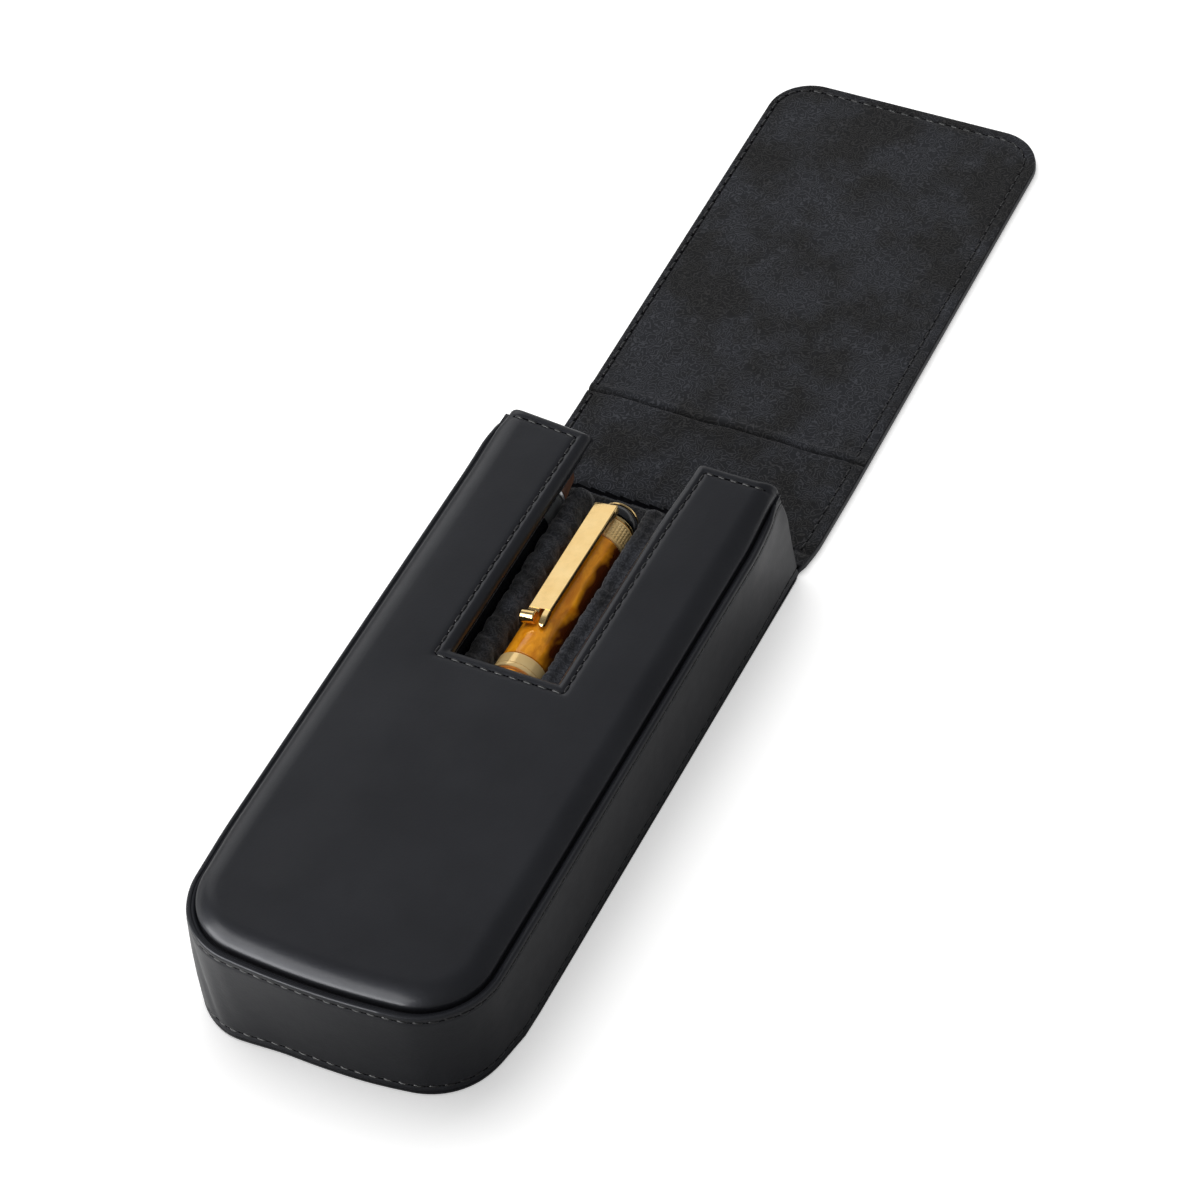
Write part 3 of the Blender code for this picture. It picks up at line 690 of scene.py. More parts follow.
def build_front_layers():
    """The board in the front and the suede under it, both set back from the window and the mouth."""
    loop = body_loop(-MOUTH_RAKE, down_side(-MOUTH_RAKE, 6.0), 3.0, ())
    for sign, ys in ((-1, (-MOUTH_RAKE, -WINDOW_DEPTH)), (1, (-WINDOW_DEPTH, -MOUTH_RAKE))):
        for y in ys:
            loop.add((sign * WINDOW_HALF, y), (0, 0), (sign, -1))
    board = (3.1, 4.2, FRONT_LINING_HIGH + 0.2, FLANGE_BOTTOM - 0.2)
    lining = (3.4, 2.2, FRONT_LINING_LOW, FRONT_LINING_HIGH)
    for name, material, node, slot, (rim, back, low, high) in (
        ("front_stiffener", BOARD, "front_board", "board", board),
        ("front_underside", SUEDE, "front_lining", "suede", lining),
    ):
        profile = [(rim, back, low), (rim - 0.2, back - 0.2, low + 0.1)]
        profile += [(rim - 0.2, back - 0.2, high - 0.1), (rim, back, high)]
        layer = slab(name, loop, profile, np.zeros((0, 2)), material)
        bind(layer, "case", node, slot=slot)


# Side wall

FRONT_SEAM_Z = 28.0
BACK_SEAM_Z = 2.9
WALL_LOW = 1.1
CLOSED_BELOW = 28.4
SEAM_DENT = 0.28
RIM_DIP = 1.5
RIM_NIP = 1.15

# Small folds down the corners: which corner, how far past it, lean, depth and half width
PUCKERS = (
    ("left", -3.5, -9.0, 0.42, 1.3),
    ("left", 1.0, -6.0, -0.30, 1.8),
    ("left", -11.0, -5.0, 0.20, 2.0),
    ("left", 8.0, 4.0, 0.22, 1.6),
    ("right", 4.0, 6.0, 0.22, 1.9),
    ("right", -6.0, 3.0, 0.18, 2.2),
)


class WallPath:
    """The wall's path in plan, from the right of the mouth round to the left."""

    def __init__(self, step):
        ends = [run / -CORNER_Y for run in (0.0, 0.15, 0.35, 0.6, 1.1)]
        side = ends + steps(1.6 / -CORNER_Y, 1, step / -CORNER_Y)
        rows = [((BODY_HALF, CORNER_Y * part), (1, 0), 1 - part) for part in side[:-1]]
        rows += [(point, away, 0) for point, away in round_end(step)]
        rows += [((-BODY_HALF, CORNER_Y * part), (-1, 0), 1 - part) for part in reversed(side[:-1])]
        self.points, self.away, self.free = (np.array(part, float) for part in zip(*rows))
        along = np.hypot(*np.diff(self.points, axis=0).T)
        self.along = np.concatenate([[0], np.cumsum(along)])
        from_end = (1 - self.free) * -CORNER_Y
        self.closed = ease(1.2, 0.7, from_end)
        self.dipped = RIM_DIP * ease(5.0, 0.0, from_end)
        self.turned = 0.5 * ease(0.6, 0.0, from_end)
        self.nipped = RIM_NIP * ease(11.0, 0.0, from_end)
        first = self.along[np.argmax(self.free == 0)]
        right = first + TURN * CORNER_RADIUS * 0.5
        self.corner = {"right": right, "left": self.along[-1] - right}
        line = np.column_stack([self.along, self.along * 0, self.along * 0])
        self.wander = ripple(line, (16, 9, 9), 5.0)
        self.lean = foot_lean(*self.points.T)

    def drawn_in(self, z):
        """How far the outer face stands inside the straight draft at a height."""
        down = 1 - z / RIM_HEIGHT
        belly = math.sin(math.pi * min(1.0, max(0.0, down))) ** 0.8
        left = bump(self.along, self.corner["left"], 14)
        right = bump(self.along, self.corner["right"], 13)
        pull = belly * (0.30 + 0.16 * self.wander - 0.45 * left + 0.35 * right)
        for side, past, lean, depth, half in PUCKERS:
            spot = self.corner[side] + past
            pull = pull + depth * belly * bump(self.along, spot + lean * (down - 0.4), half)
        return pull

    def ring(self, inset, z, setback=0.0):
        """Points at an inset from the outer face at a height."""
        pull = self.drawn_in(z) * (1 - inset / WALL_INSIDE)
        lean = self.lean * (1 - z / RIM_HEIGHT) + self.nipped * float(ease(20, RIM_HEIGHT, z))
        plan = self.points - (inset + lean + pull)[:, None] * self.away
        plan[:, 1] += (-MOUTH_RAKE * z / RIM_HEIGHT - setback) * self.free
        return np.column_stack([plan, z - self.dipped * float(ease(24, RIM_HEIGHT, z))])


def wall_layer(name, profile, material, setback, step, node, slot, closing=0.0):
    """A layer of the wall swept along the path from a closed profile of inset and height.

    Below the rim its inner side may close over the wall's two ends at the mouth, to a given inset.
    """
    path = WallPath(step)
    rings = []
    for inset, z in profile:
        insets = np.full(len(path.points), inset)
        if closing and inset < 1:
            insets = insets + path.turned
        elif closing and z < CLOSED_BELOW:
            insets = insets + (closing - inset) * path.closed
        rings.append(path.ring(insets, z, setback))
    points = np.array(rings).transpose(1, 0, 2).reshape(-1, 3)
    faces = tube_faces(len(path.points), len(profile))
    bind(add_piece(name, points, faces, material, warp=settle), "case", node, slot=slot)


def seam_dent(z):
    return SEAM_DENT * float(bump(z, FRONT_SEAM_Z, 0.55) + bump(z, BACK_SEAM_Z, 0.55))


def up_and_down(near, far, low, high, step):
    """A thin upright profile: up at one inset and down at another."""
    return [(near, z) for z in steps(low, high, step)] + [(far, z) for z in steps(high, low, step)]


def build_wall():
    heights = steps(WALL_LOW + 0.55, 5.0, 0.3) + steps(5.0, 26.5, 1.2)[1:]
    heights += steps(26.5, 29.3, 0.28)[1:]
    outside = [(0.30, WALL_LOW), (0.12, WALL_LOW + 0.08), (0.03, WALL_LOW + 0.22)]
    outside += [(seam_dent(z), z) for z in heights]
    outside += [(0.05, 29.6), (0.18, 29.85), (0.42, 29.98), (0.75, 30.0), (1.05, 29.92), (1.2, 29.7)]
    downs = [29.0, CLOSED_BELOW + 0.05] + steps(CLOSED_BELOW - 0.05, WALL_LOW, 3.0)
    leather = outside + [(1.2, z) for z in downs]
    stiff = up_and_down(1.5, 2.7, WALL_LOW, 27.0, 4.0)
    soft = up_and_down(3.0, 3.6, SHELL_TOP + 0.3, 26.2, 2.0)
    wall_layer("wall_cover", leather, LEATHER, 0.0, 1.1, "side_wall_leather", "leather", WALL_INSIDE)
    wall_layer("wall_stiffener", stiff, BOARD, 1.6, 3.0, "side_wall_board", "board")
    wall_layer("wall_lining", soft, SUEDE, 1.6, 2.0, "side_wall_lining", "suede")


# Back, spine and flap: a leather tray with a suede lining on it, across the two folds

LINING_UNDER_CASE = 4.0
FLAP_SEAM = 3.0
SEAM_OVER = 1.1
FLAP_CORNER_X = FLAP_HALF - FLAP_CORNER
FLAP_CORNER_Y = FLAP_REACH - FLAP_CORNER
SPINE_XS = steps(-36, 36, 4.0)
SKEW_RIGHT, SKEW_LEFT = 1.0, 1.8
BOARD_DRAWN_IN = 1.3
BOARD_TIP_IN = 0.4

# Painted shade at the root fold, a band of the lining given the dark hole finish: its place and half
# sizes
ROOT_SHADE_Y = ROOT_Y + 3.1
ROOT_SHADE_HALF_X, ROOT_SHADE_HALF_Y, ROOT_SHADE_DOWN = 33 * MM, 0.7 * MM, 0.9 * MM

# Insets and heights up the edge of the tray, and of the lining with the rings over its top
TRAY_PROFILE = ((1.6, 0.0), (0.7, 0.0), (0.32, 0.09), (0.1, 0.3), (0.0, 0.62), (0.0, 1.6))
TRAY_PROFILE += ((0.07, 1.95), (0.25, 2.15), (0.5, 2.2), (0.62, 2.0), (0.62, 1.05))
LINING_PROFILE = ((0.75, 2.25), (0.55, 2.3), (0.28, 2.45), (0.2, 2.65), (0.3, 2.86), (0.55, 2.97))
LINING_PROFILE += tuple((i, SHELL_TOP) for i in (0.9, 1.5, 2.1, 2.5, 2.75, 3.0, 3.25, 3.5, 3.9, 4.6))


def fold_lines():
    """Rows across the strip at the two folds, close enough together to bend."""
    rows = set(steps(CREASE_Y - 1.1, CREASE_Y + 1.1, 0.15))
    for fold in (ROOT_Y, CREASE_Y):
        rows.update(steps(fold - FOLD_HALF - 1, fold + FOLD_HALF + 1, 0.45))
    return rows


def widen(points, inset, low, high):
    """A layer that is inset under the case eases out to the spine's width past the mouth."""
    side = np.sign(points[:, 0]) * np.minimum(1, np.abs(points[:, 0]) / 30)
    points[:, 0] += side * (FLAP_HALF - BODY_HALF + inset) * ease(low, high, points[:, 1])


def case_strip(inset):
    """Outline and loose points from the closed end to the middle of the spine."""
    rows = {y for y in fold_lines() if y < SPINE_MIDDLE} | set(steps(7.0, SPINE_MIDDLE, 2.5))
    ys = [y for y in rows | set(down_side(0.0, 7.0)) if y >= CORNER_Y]
    ys = sorted({round(y, 4) for y in ys}, reverse=True)
    loop = body_loop(SPINE_MIDDLE, ys, 1.5, SPINE_XS, True)
    loop.points = loop.at(inset)
    wide = plan_grid(37.0, [y for y in ys if y > -8][1:], 3.6)
    deep = plan_grid(37.0, steps(-8, -BODY_LENGTH, 6.0), 6.0)
    return loop, np.vstack([wide, deep])


def flap_strip():
    """Outline and loose points from the middle of the spine to the flap's tip."""
    loop = Loop()
    rows = {y for y in fold_lines() if y > SPINE_MIDDLE} | set(steps(SPINE_MIDDLE, 32.5, 2.5))
    ys = sorted({round(y, 4) for y in rows | set(steps(41.5, FLAP_CORNER_Y, 2.0))})
    for y in ys:
        loop.add((FLAP_HALF, y), (-1, 0))
    for nx, ny in arc(0, QUARTER, 0.9 / FLAP_CORNER)[1:]:
        loop.add((FLAP_CORNER_X + FLAP_CORNER * nx, FLAP_CORNER_Y + FLAP_CORNER * ny), (-nx, -ny))
    side = len(loop.points)
    for x in steps(FLAP_CORNER_X, -FLAP_CORNER_X, 2.0)[1:-1]:
        loop.add((x, FLAP_REACH), (0, -1))
    loop.mirror(0, side)
    for x in SPINE_XS:
        loop.add((x, SPINE_MIDDLE), (-x / FLAP_HALF, 0))
    near = plan_grid(FLAP_HALF, [y for y in ys if y < 42][1:], 2.4)
    far = plan_grid(FLAP_HALF, steps(43, FLAP_REACH, 2.0), 2.0)
    return loop, np.vstack([near, far])


def flap_inset(x, y):
    """Distance in from the flap's outline."""
    x = np.abs(x)
    round_part = FLAP_CORNER - np.hypot(x - FLAP_CORNER_X, y - FLAP_CORNER_Y)
    straight = np.minimum(FLAP_HALF - x, FLAP_REACH - y)
    return np.where((x > FLAP_CORNER_X) & (y > FLAP_CORNER_Y), round_part, straight)


def seam_inset(x):
    """The flap's and the spine's seam stands nearer the edge on the left."""
    return FLAP_SEAM - SEAM_OVER * ease(10, -30, x)


def skew(points):
    """The spine and the flap stand askew, to the right at the crease and to the left at the tip."""
    y = points[:, 1]
    back = SKEW_LEFT * np.clip((y - 30) / (FLAP_REACH - 30), 0, 1)
    points[:, 0] += ease(-1, 10, y) * (SKEW_RIGHT - back)
    return points


def lining_lift(x, y):
    """How far the lining's top stands off its flat height: folds, the crease, the seam's channel."""
    lift = -0.30 * bump(y, ROOT_Y, 2.3) - 0.68 * bump(y, ROOT_SHADE_Y, 1.1)
    crease = CREASE_Y + 0.22 * np.sin(x / 5.1) + 0.14 * np.sin(x / 2.3 + 1)
    for past, height, half in ((0, -0.85, 0.34), (1.5, 0.32, 1.0), (-1.8, 0.10, 1.3)):
        lift = lift + height * bump(y, crease + past, half)
    past_root = ease(ROOT_Y + 2, ROOT_Y + 6, y)
    return lift - 0.28 * past_root * bump(flap_inset(x, y), seam_inset(x), 0.6)


def lining_shape(points):
    """Folds, soft waves and the seam's channel in the lining's top, and room for the root's fold."""
    top = points[:, 2] > 2.4
    points[:, 2] += np.where(top, lining_lift(points[:, 0], points[:, 1]), 0)
    soft = ease(3.5, 9, flap_inset(points[:, 0], points[:, 1])) * top
    points[:, 2] += 0.09 * soft * ripple(points * IN_PLAN, (13, 16, 9), 8.0)
    points[~top, 2] -= 0.40 * bump(points[~top, 1], ROOT_Y + 1.2, 2.0)
    return points


def case_lining_shape(points):
    widen(points, LINING_UNDER_CASE, -0.8, 1.2)
    return lining_shape(points)


def case_tray_shape(points):
    """The back's rim follows the wall's foot, and lies low under the case."""
    x, y = points[:, 0], points[:, 1]
    move_out(points, (WALL_DRAFT - foot_lean(x, y)) * ease(14, 1, body_inset(x, y)) * ease(1, -3, y))
    widen(points, WALL_DRAFT, -1.5, ROOT_Y + 1)
    points[:, 2] -= np.maximum(0, points[:, 2] - 1.15) * ease(1.5, -0.5, points[:, 1])
    return points


def build_strip(name, fold, nodes, outlines, shapes):
    """A leather tray and the suede lining on it, across a fold between two bodies."""
    start, end = (tuple(place([(0, fold + run, SHELL_TOP)])[0]) for run in (-FOLD_HALF, FOLD_HALF))
    pieces = []
    for word, material, profile, (loop, loose), shape in zip(
        ("", "_lining"), (LEATHER, SUEDE), (TRAY_PROFILE, LINING_PROFILE), outlines, shapes
    ):
        rings = [(inset, 0, height) for inset, height in profile]
        pieces.append(slab(name + word, loop, rings, loose, material, shape, warp=skew))
    # Painted shade: the lining's faces in the band past the root fold take the dark hole finish
    lining = pieces[1].data
    lining.materials.append(HOLE_AND_ROOT_SHADE)
    root_shade_spot = Vector(place([(0, ROOT_SHADE_Y, 2.5)])[0])
    for face in lining.polygons:
        off = Vector(face.center) - root_shade_spot
        if abs(off.y) < ROOT_SHADE_HALF_Y and off.z > -ROOT_SHADE_DOWN and abs(off.x) < ROOT_SHADE_HALF_X:
            face.material_index = 1
    for piece, layer, slot in zip(pieces, ("leather", "lining"), ("leather", "suede")):
        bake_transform(piece)
        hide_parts(*[f"{node}_{layer}" for node in nodes])


def build_shell():
    outlines = [case_strip(WALL_DRAFT), case_strip(LINING_UNDER_CASE)]
    shapes = (case_tray_shape, case_lining_shape)
    build_strip("case_back", ROOT_Y, ("back", "spine"), outlines, shapes)
    outlines = [flap_strip()] * 2
    shapes = (None, lining_shape)
    build_strip("flap_cover", CREASE_Y, ("flap", "spine"), outlines, shapes)


def build_fold_boards():
    """The boards of the spine and the flap, drawn in to stay inside the leather, which is askew."""
    for body in ("spine", "flap"):
        node = body + "_board"
        shape = bmesh.new()
        shape.from_mesh(frame["nodes"][node].data)
        bmesh.ops.remove_doubles(shape, verts=shape.verts[:], dist=0.001 * MM)
        points = np.array([vert.co for vert in shape.verts]) / MM - (0, MOUTH_Y, 0)
        faces = [[vert.index for vert in face.verts] for face in shape.faces]
        shape.free()
        x, y = points[:, 0].copy(), points[:, 1].copy()
        outer = flap_inset(x, y) < 2.0
        points[:, 0] -= np.where(outer, np.sign(x) * BOARD_DRAWN_IN, 0)
        points[:, 1] -= np.where(outer & (y > 150), BOARD_TIP_IN, 0)
        piece = add_piece(body + "_stiffener", points, faces, BOARD)
        bind(piece, body, node, slot="board")


# Cradle and the two suede rolls on it

CRADLE_INSET = WALL_INSIDE + 0.3 + WALL_DRAFT
CRADLE_ROUND = 1.2
ROLL_HALF = 3.2
ROLL_LOW = 13.1
ROLL_HEIGHT = 12.5
ROLL_SHOULDER = ROLL_HEIGHT - ROLL_HALF
ROLL_FRONT_Y = -13.0
ROLL_BACK_Y = -BODY_LENGTH + CRADLE_INSET + 4.0
CREASE_ANGLE, CREASE_SPREAD = math.radians(62), math.radians(13)

# Each roll's place, lean, twist's pitch and depth, crease along its shoulder, and seed
ROLLS = {
    "left": (-11.8, 0.0, 6.8, 0.62, 0.0, 11.0),
    "right": (12.3, 5.2, 9.0, 0.22, 0.8, 23.0),
}


def cradle_shape(points):
    """Soft waves in the cradle's top and along its front edge."""
    top = points[:, 2] > CRADLE_TOP - 0.6
    points[:, 2] += np.where(top, 0.16 * ripple(points * IN_PLAN, (7, 9, 9), 4.0) - 0.16, 0)
    front = bump(points[:, 1], CRADLE_Y, 2.0)
    points[:, 1] += 0.18 * front * ripple(points * (1, 0, 1), (8, 9, 5), 1.0)
    return points


def build_cradle():
    inset = CRADLE_INSET
    ys = down_side(CRADLE_Y, 4.0, ((CRADLE_Y, CRADLE_Y - 12, 0.8),))
    loop = body_loop(CRADLE_Y, ys, 2.0, steps(-36, 36, 1.5))
    profile = [(inset + 1, 1.0, SHELL_TOP + 0.3), (inset, 0.1, SHELL_TOP + 0.4)]
    profile += [(inset, 0.0, 6.0), (inset, 0.0, 9.0)]
    for cosine, sine in arc(0, QUARTER, math.radians(15)):
        run = CRADLE_ROUND * (1 - cosine)
        profile.append((inset + run, run, CRADLE_TOP - CRADLE_ROUND * (1 - sine)))
    profile += [(inset + 2.0, 1.9, CRADLE_TOP), (inset + 3.0, 2.8, CRADLE_TOP)]
    loose = plan_grid(34.0, steps(CRADLE_Y, -40, 1.3) + steps(-44, -BODY_LENGTH, 5.0), 1.5)
    pad = slab("cradle_pad", loop, profile, loose, SUEDE, cradle_shape)
    bind(pad, "case", "cradle_cover", "cradle_foam", slot="suede", fill=0.8)


def roll_section():
    """A roll's section across and up from its foot: straight sides under a half round."""
    half = ROLL_HALF
    sides = steps(1.0, ROLL_SHOULDER, 0.9)
    section = [(t * half, 0.0) for t in (-0.6, 0.0, 0.6)] + [(half * 0.93, 0.35)]
    section += [(half, h) for h in sides]
    for cosine, sine in arc(0, math.pi, math.radians(11))[1:-1]:
        section.append((half * cosine, ROLL_SHOULDER + half * sine))
    section += [(-half, h) for h in reversed(sides)] + [(-half * 0.93, 0.35)]
    return np.array(section)


def build_roll(side):
    """A roll of suede over foam, standing on the cradle, drawn up in short cross folds."""
    place_x, full_lean, pitch, depth, crease, seed = ROLLS[side]
    section = roll_section()
    ys = steps(ROLL_FRONT_Y, -WINDOW_DEPTH - 8, 0.42)
    ys += steps(-WINDOW_DEPTH - 8, ROLL_BACK_Y, 1.6)[1:]
    rows = []
    for y in ys:
        ends = min(ROLL_FRONT_Y - y, y - ROLL_BACK_Y)
        close = math.sqrt(1 - (1 - min(1.0, ends / 2.6 + 0.06)) ** 2)
        lean = full_lean * float(ease(ROLL_BACK_Y, -WINDOW_DEPTH, y))
        height = section[:, 1] * (0.55 + 0.45 * close)
        x = place_x + section[:, 0] * close - lean * (height / ROLL_HEIGHT) ** 2
        rows.append(np.column_stack([x, np.full(len(x), y), ROLL_LOW + height]))
    points = np.vstack(rows)
    round_about = np.arctan2(section[:, 1] - ROLL_SHOULDER, section[:, 0])
    round_about = np.tile(round_about, len(ys))
    up = np.maximum(np.sin(round_about), 0)
    away = np.column_stack([np.sign(np.cos(round_about)) * np.sqrt(1 - up**2), up * 0, up])
    bend = [ripple(points, (9, 9, 9), seed + k) for k in (1, 2, 3)]
    bent = points + 1.6 * np.column_stack(bend)
    folds = 1 - 2 * np.abs(ripple(bent, (6.5, 2.3, 6.5), seed))
    small = ripple(bent, (2.4, 1.3, 2.4), seed + 7) + 0.8 * ripple(bent, (1.5, 0.9, 1.5), seed + 9)
    ridge = np.abs(np.sin(math.pi * bent[:, 1] / pitch - 0.75 * round_about)) ** 0.55
    creased = crease * bump(round_about, CREASE_ANGLE, CREASE_SPREAD)
    lift = depth * (ridge - 0.85) + 0.34 * (folds - 0.55) + 0.15 * small - creased
    high = ease(ROLL_LOW, ROLL_LOW + 3, points[:, 2])
    points = points + away * (high * lift)[:, None]
    faces = tube_faces(len(ys), len(section))
    roll = add_piece(f"suede_roll_{side}", points, faces, ROLL_SUEDE_PAINTED_LIGHTER, 75)
    bind(roll, "case", f"divider_cover_{side}", f"divider_core_{side}", slot="suede", fill=0.55)


# Stitching

STITCH = 2.45
STITCH_PITCH = 3.5
THREAD_HALF = 0.30
THREAD_SIDES, THREAD_RINGS = 8, 9
THREAD_RISE, THREAD_SINK, THREAD_SLANT = 0.26, 0.16, 0.10
HOLE_LONG, HOLE_WIDE, HOLE_PAST = 0.42, 0.36, 0.12
HOLE_RINGS = ((1.0, -0.22), (1.0, 0.015), (0.55, 0.04))
FINE = 1200


def resample(line):
    """Finely and evenly spaced points on a polyline, and its length."""
    line = np.array(line, float)
    runs = np.linalg.norm(np.diff(line, axis=0), axis=1)
    along = np.concatenate([[0], np.cumsum(runs)])
    marks = np.linspace(0, along[-1], FINE)
    return np.column_stack([np.interp(marks, along, line[:, k]) for k in range(3)]), along[-1]


def stitched(name, runs, body, node, warp):
    """Stitches down each run, which is a line on the surface and outward directions along it."""
    circle = [2 * math.pi * i / THREAD_SIDES for i in range(THREAD_SIDES)]
    circle = [(math.cos(angle), math.sin(angle)) for angle in circle]
    points, faces, holes = [], [], []
    for line, outward in runs:
        fine, length = resample(line)
        marks = np.linspace(0, 1, FINE), np.linspace(0, 1, len(outward))
        out = np.column_stack([np.interp(*marks, outward[:, k]) for k in range(3)])
        count = max(1, round(length / STITCH_PITCH))
        pitch = length / count
        half = pitch * STITCH / STITCH_PITCH / 2
        for k in range(count):
            middle = (k + 0.5) * pitch
            stations = np.linspace(middle - half, middle + half, THREAD_RINGS) / length * (FINE - 1)
            faces += tube_faces(THREAD_RINGS, THREAD_SIDES, len(points))
            for station, u in zip(stations, np.linspace(-1, 1, THREAD_RINGS)):
                low = int(min(station, FINE - 2))
                spot = fine[low] + (fine[low + 1] - fine[low]) * (station - low)
                ahead = fine[min(low + 12, FINE - 1)] - fine[max(low - 12, 0)]
                ahead = ahead / np.linalg.norm(ahead)
                normal = out[low] - ahead * out[low].dot(ahead)
                normal = normal / np.linalg.norm(normal)
                aside = np.cross(ahead, normal)
                lift = THREAD_RISE * (1 - abs(u) ** 3) - THREAD_SINK
                girth = THREAD_HALF * (0.62 + 0.38 * math.sqrt(max(0.0, 1 - u**4)))
                for cosine, sine in circle:
                    reach = aside * (cosine * girth + THREAD_SLANT * u)
                    points.append(tuple(spot + reach + normal * (0.8 * sine * girth + lift)))
                if abs(u) == 1:
                    holes.append((spot + ahead * HOLE_PAST * u, ahead, aside, normal))
    thread = add_piece(name, points, faces, THREAD, 80, warp)
    points, faces = [], []
    for spot, ahead, aside, normal in holes:
        faces += tube_faces(len(HOLE_RINGS), THREAD_SIDES, len(points))
        for radius, lift in HOLE_RINGS:
            for cosine, sine in circle:
                around = ahead * cosine * HOLE_LONG * radius + aside * sine * HOLE_WIDE * radius
                points.append(tuple(spot + around + normal * lift))
    pricks = add_piece(name + "_holes", points, faces, HOLE_AND_ROOT_SHADE, warp=warp)
    for piece in (thread, pricks):
        bind(piece, body, node, slot="thread")


def build_wall_seams():
    path = WallPath(1.0)
    outward = np.column_stack([path.away, np.zeros(len(path.away))])[1:-1]
    for name, z in (("front_seam", FRONT_SEAM_Z), ("back_seam", BACK_SEAM_Z)):
        line = path.ring(np.full(len(path.points), seam_dent(z)), z)[1:-1]
        stitched(name + "_stitches", [(line, outward)], "case", name + "_thread", settle)


def on_front(plan):
    """Points on the padded front, and its outward directions there."""
    x, y = plan.T
    step = 0.15
    slopes = [
        (front_height(x + dx, y + dy) - front_height(x - dx, y - dy)) / (2 * step)
        for dx, dy in ((step, 0), (0, step))
    ]
    outward = np.column_stack([-slopes[0], -slopes[1], np.ones(len(plan))])
    return np.column_stack([plan, front_height(x, y)]), outward


def build_window_seam():
    side = WINDOW_HALF + SEAM_FROM_EDGE
    mouth = -MOUTH_RAKE - SEAM_FROM_EDGE
    deep = -WINDOW_DEPTH - SEAM_FROM_EDGE
    shoulder = BODY_HALF - GROOVE_INSET - 2.4
    corners = [(-shoulder, mouth), (-side, mouth), (-side, deep)]
    corners += [(side, deep), (side, mouth), (shoulder, mouth)]
    runs = [on_front(np.linspace(*ends, 240)) for ends in zip(corners, corners[1:])]
    stitched("window_seam_stitches", runs, "case", "window_seam_thread", settle)


def on_lining(plan):
    """Points on the lining, and its outward directions there."""
    plan = np.array(plan, float)
    line = np.column_stack([plan, SHELL_TOP + lining_lift(plan[:, 0], plan[:, 1])])
    return line, np.tile((0.0, 0.0, 1.0), (len(plan), 1))


def set_over(points):
    points[:, 0] -= FLAP_SEAM - seam_inset(points[:, 0])
    return skew(points)


def build_flap_seams():
    side = FLAP_HALF - FLAP_SEAM
    past_crease = 1.6
    for word, x in (("left", -side), ("right", side)):
        plan = np.linspace((x, ROOT_Y + FOLD_HALF), (x, CREASE_Y - past_crease), 80)
        node = f"spine_seam_thread_{word}"
        stitched(f"spine_stitches_{word}", [on_lining(plan)], "spine", node, set_over)
    corner = FLAP_CORNER - FLAP_SEAM
    plan = [(side, y) for y in steps(CREASE_Y + past_crease, FLAP_CORNER_Y, 1.0)]
    for cosine, sine in arc(0, QUARTER, 0.08)[1:]:
        plan.append((FLAP_CORNER_X + corner * cosine, FLAP_CORNER_Y + corner * sine))
    mirrored = [(-x, y) for x, y in reversed(plan)]
    across = steps(FLAP_CORNER_X, -FLAP_CORNER_X, 1.0)[1:]
    plan += [(x, FLAP_CORNER_Y + corner) for x in across] + mirrored
    stitched("flap_stitches", [on_lining(plan)], "flap", "flap_seam_thread", set_over)


# Pens

SIDES = 96
AMBER_SETBACK = 14.3
DARK_SETBACK = 5.4
KNURL_COLUMNS = 40
KNURL_PITCH = 0.93
KNURL_DEPTH = 0.20
KNURL_SIDES = 320
KNURL_FROM, KNURL_TO = 0.74, 5.46
DOME_START = math.radians(48)


def turned(pen, x, front_y, name, node, profile, material, knurled=False):
    """A piece turned about a pen's axis from distances along it and radii, closed at its ends."""
    sides = KNURL_SIDES if knurled else SIDES
    points = []
    for along, radius in profile:
        for i in range(sides):
            angle = 2 * math.pi * i / sides
            reach = radius + (knurl(along, angle) if knurled else 0.0)
            across, up = reach * math.cos(angle), reach * math.sin(angle)
            points.append((x + across, front_y - along, PEN_Z + up))
    faces = tube_faces(len(profile), sides)
    bind(add_piece(name, points, faces, material, 60 if knurled else 32), pen, node)


def build_pen(pen, x, setback, parts):
    """A pen's pieces one behind the other. A piece with no length shares its place with the next."""
    y = -setback
    for length, *part in parts:
        turned(pen, x, y, *part)
        if length:
            y -= length + GAP


def rounded_ends(length, front, back, soft):
    """A straight or tapering wall with rounded arrises."""
    rise, fall = (arc(*ends, math.radians(22.5)) for ends in ((0, QUARTER), (QUARTER, 0)))
    start = [(soft * (1 - cosine), front - soft * (1 - sine)) for cosine, sine in rise]
    ts = steps(soft / length, 1 - soft / length, 0.1)[1:-1]
    middle = [(t * length, front + (back - front) * t) for t in ts]
    end = [(length - soft * (1 - cosine), back - soft * (1 - sine)) for cosine, sine in fall]
    return start + middle + end


def knurl(along, angle):
    """A fine square knurl, as crossed grooves."""
    if not KNURL_FROM < along < KNURL_TO:
        return 0.0
    columns = 0.5 + 0.5 * math.cos(angle * KNURL_COLUMNS)
    rows = 0.5 + 0.5 * math.cos(2 * math.pi * along / KNURL_PITCH)
    return -KNURL_DEPTH * (1 - min(columns, rows) ** 0.6)


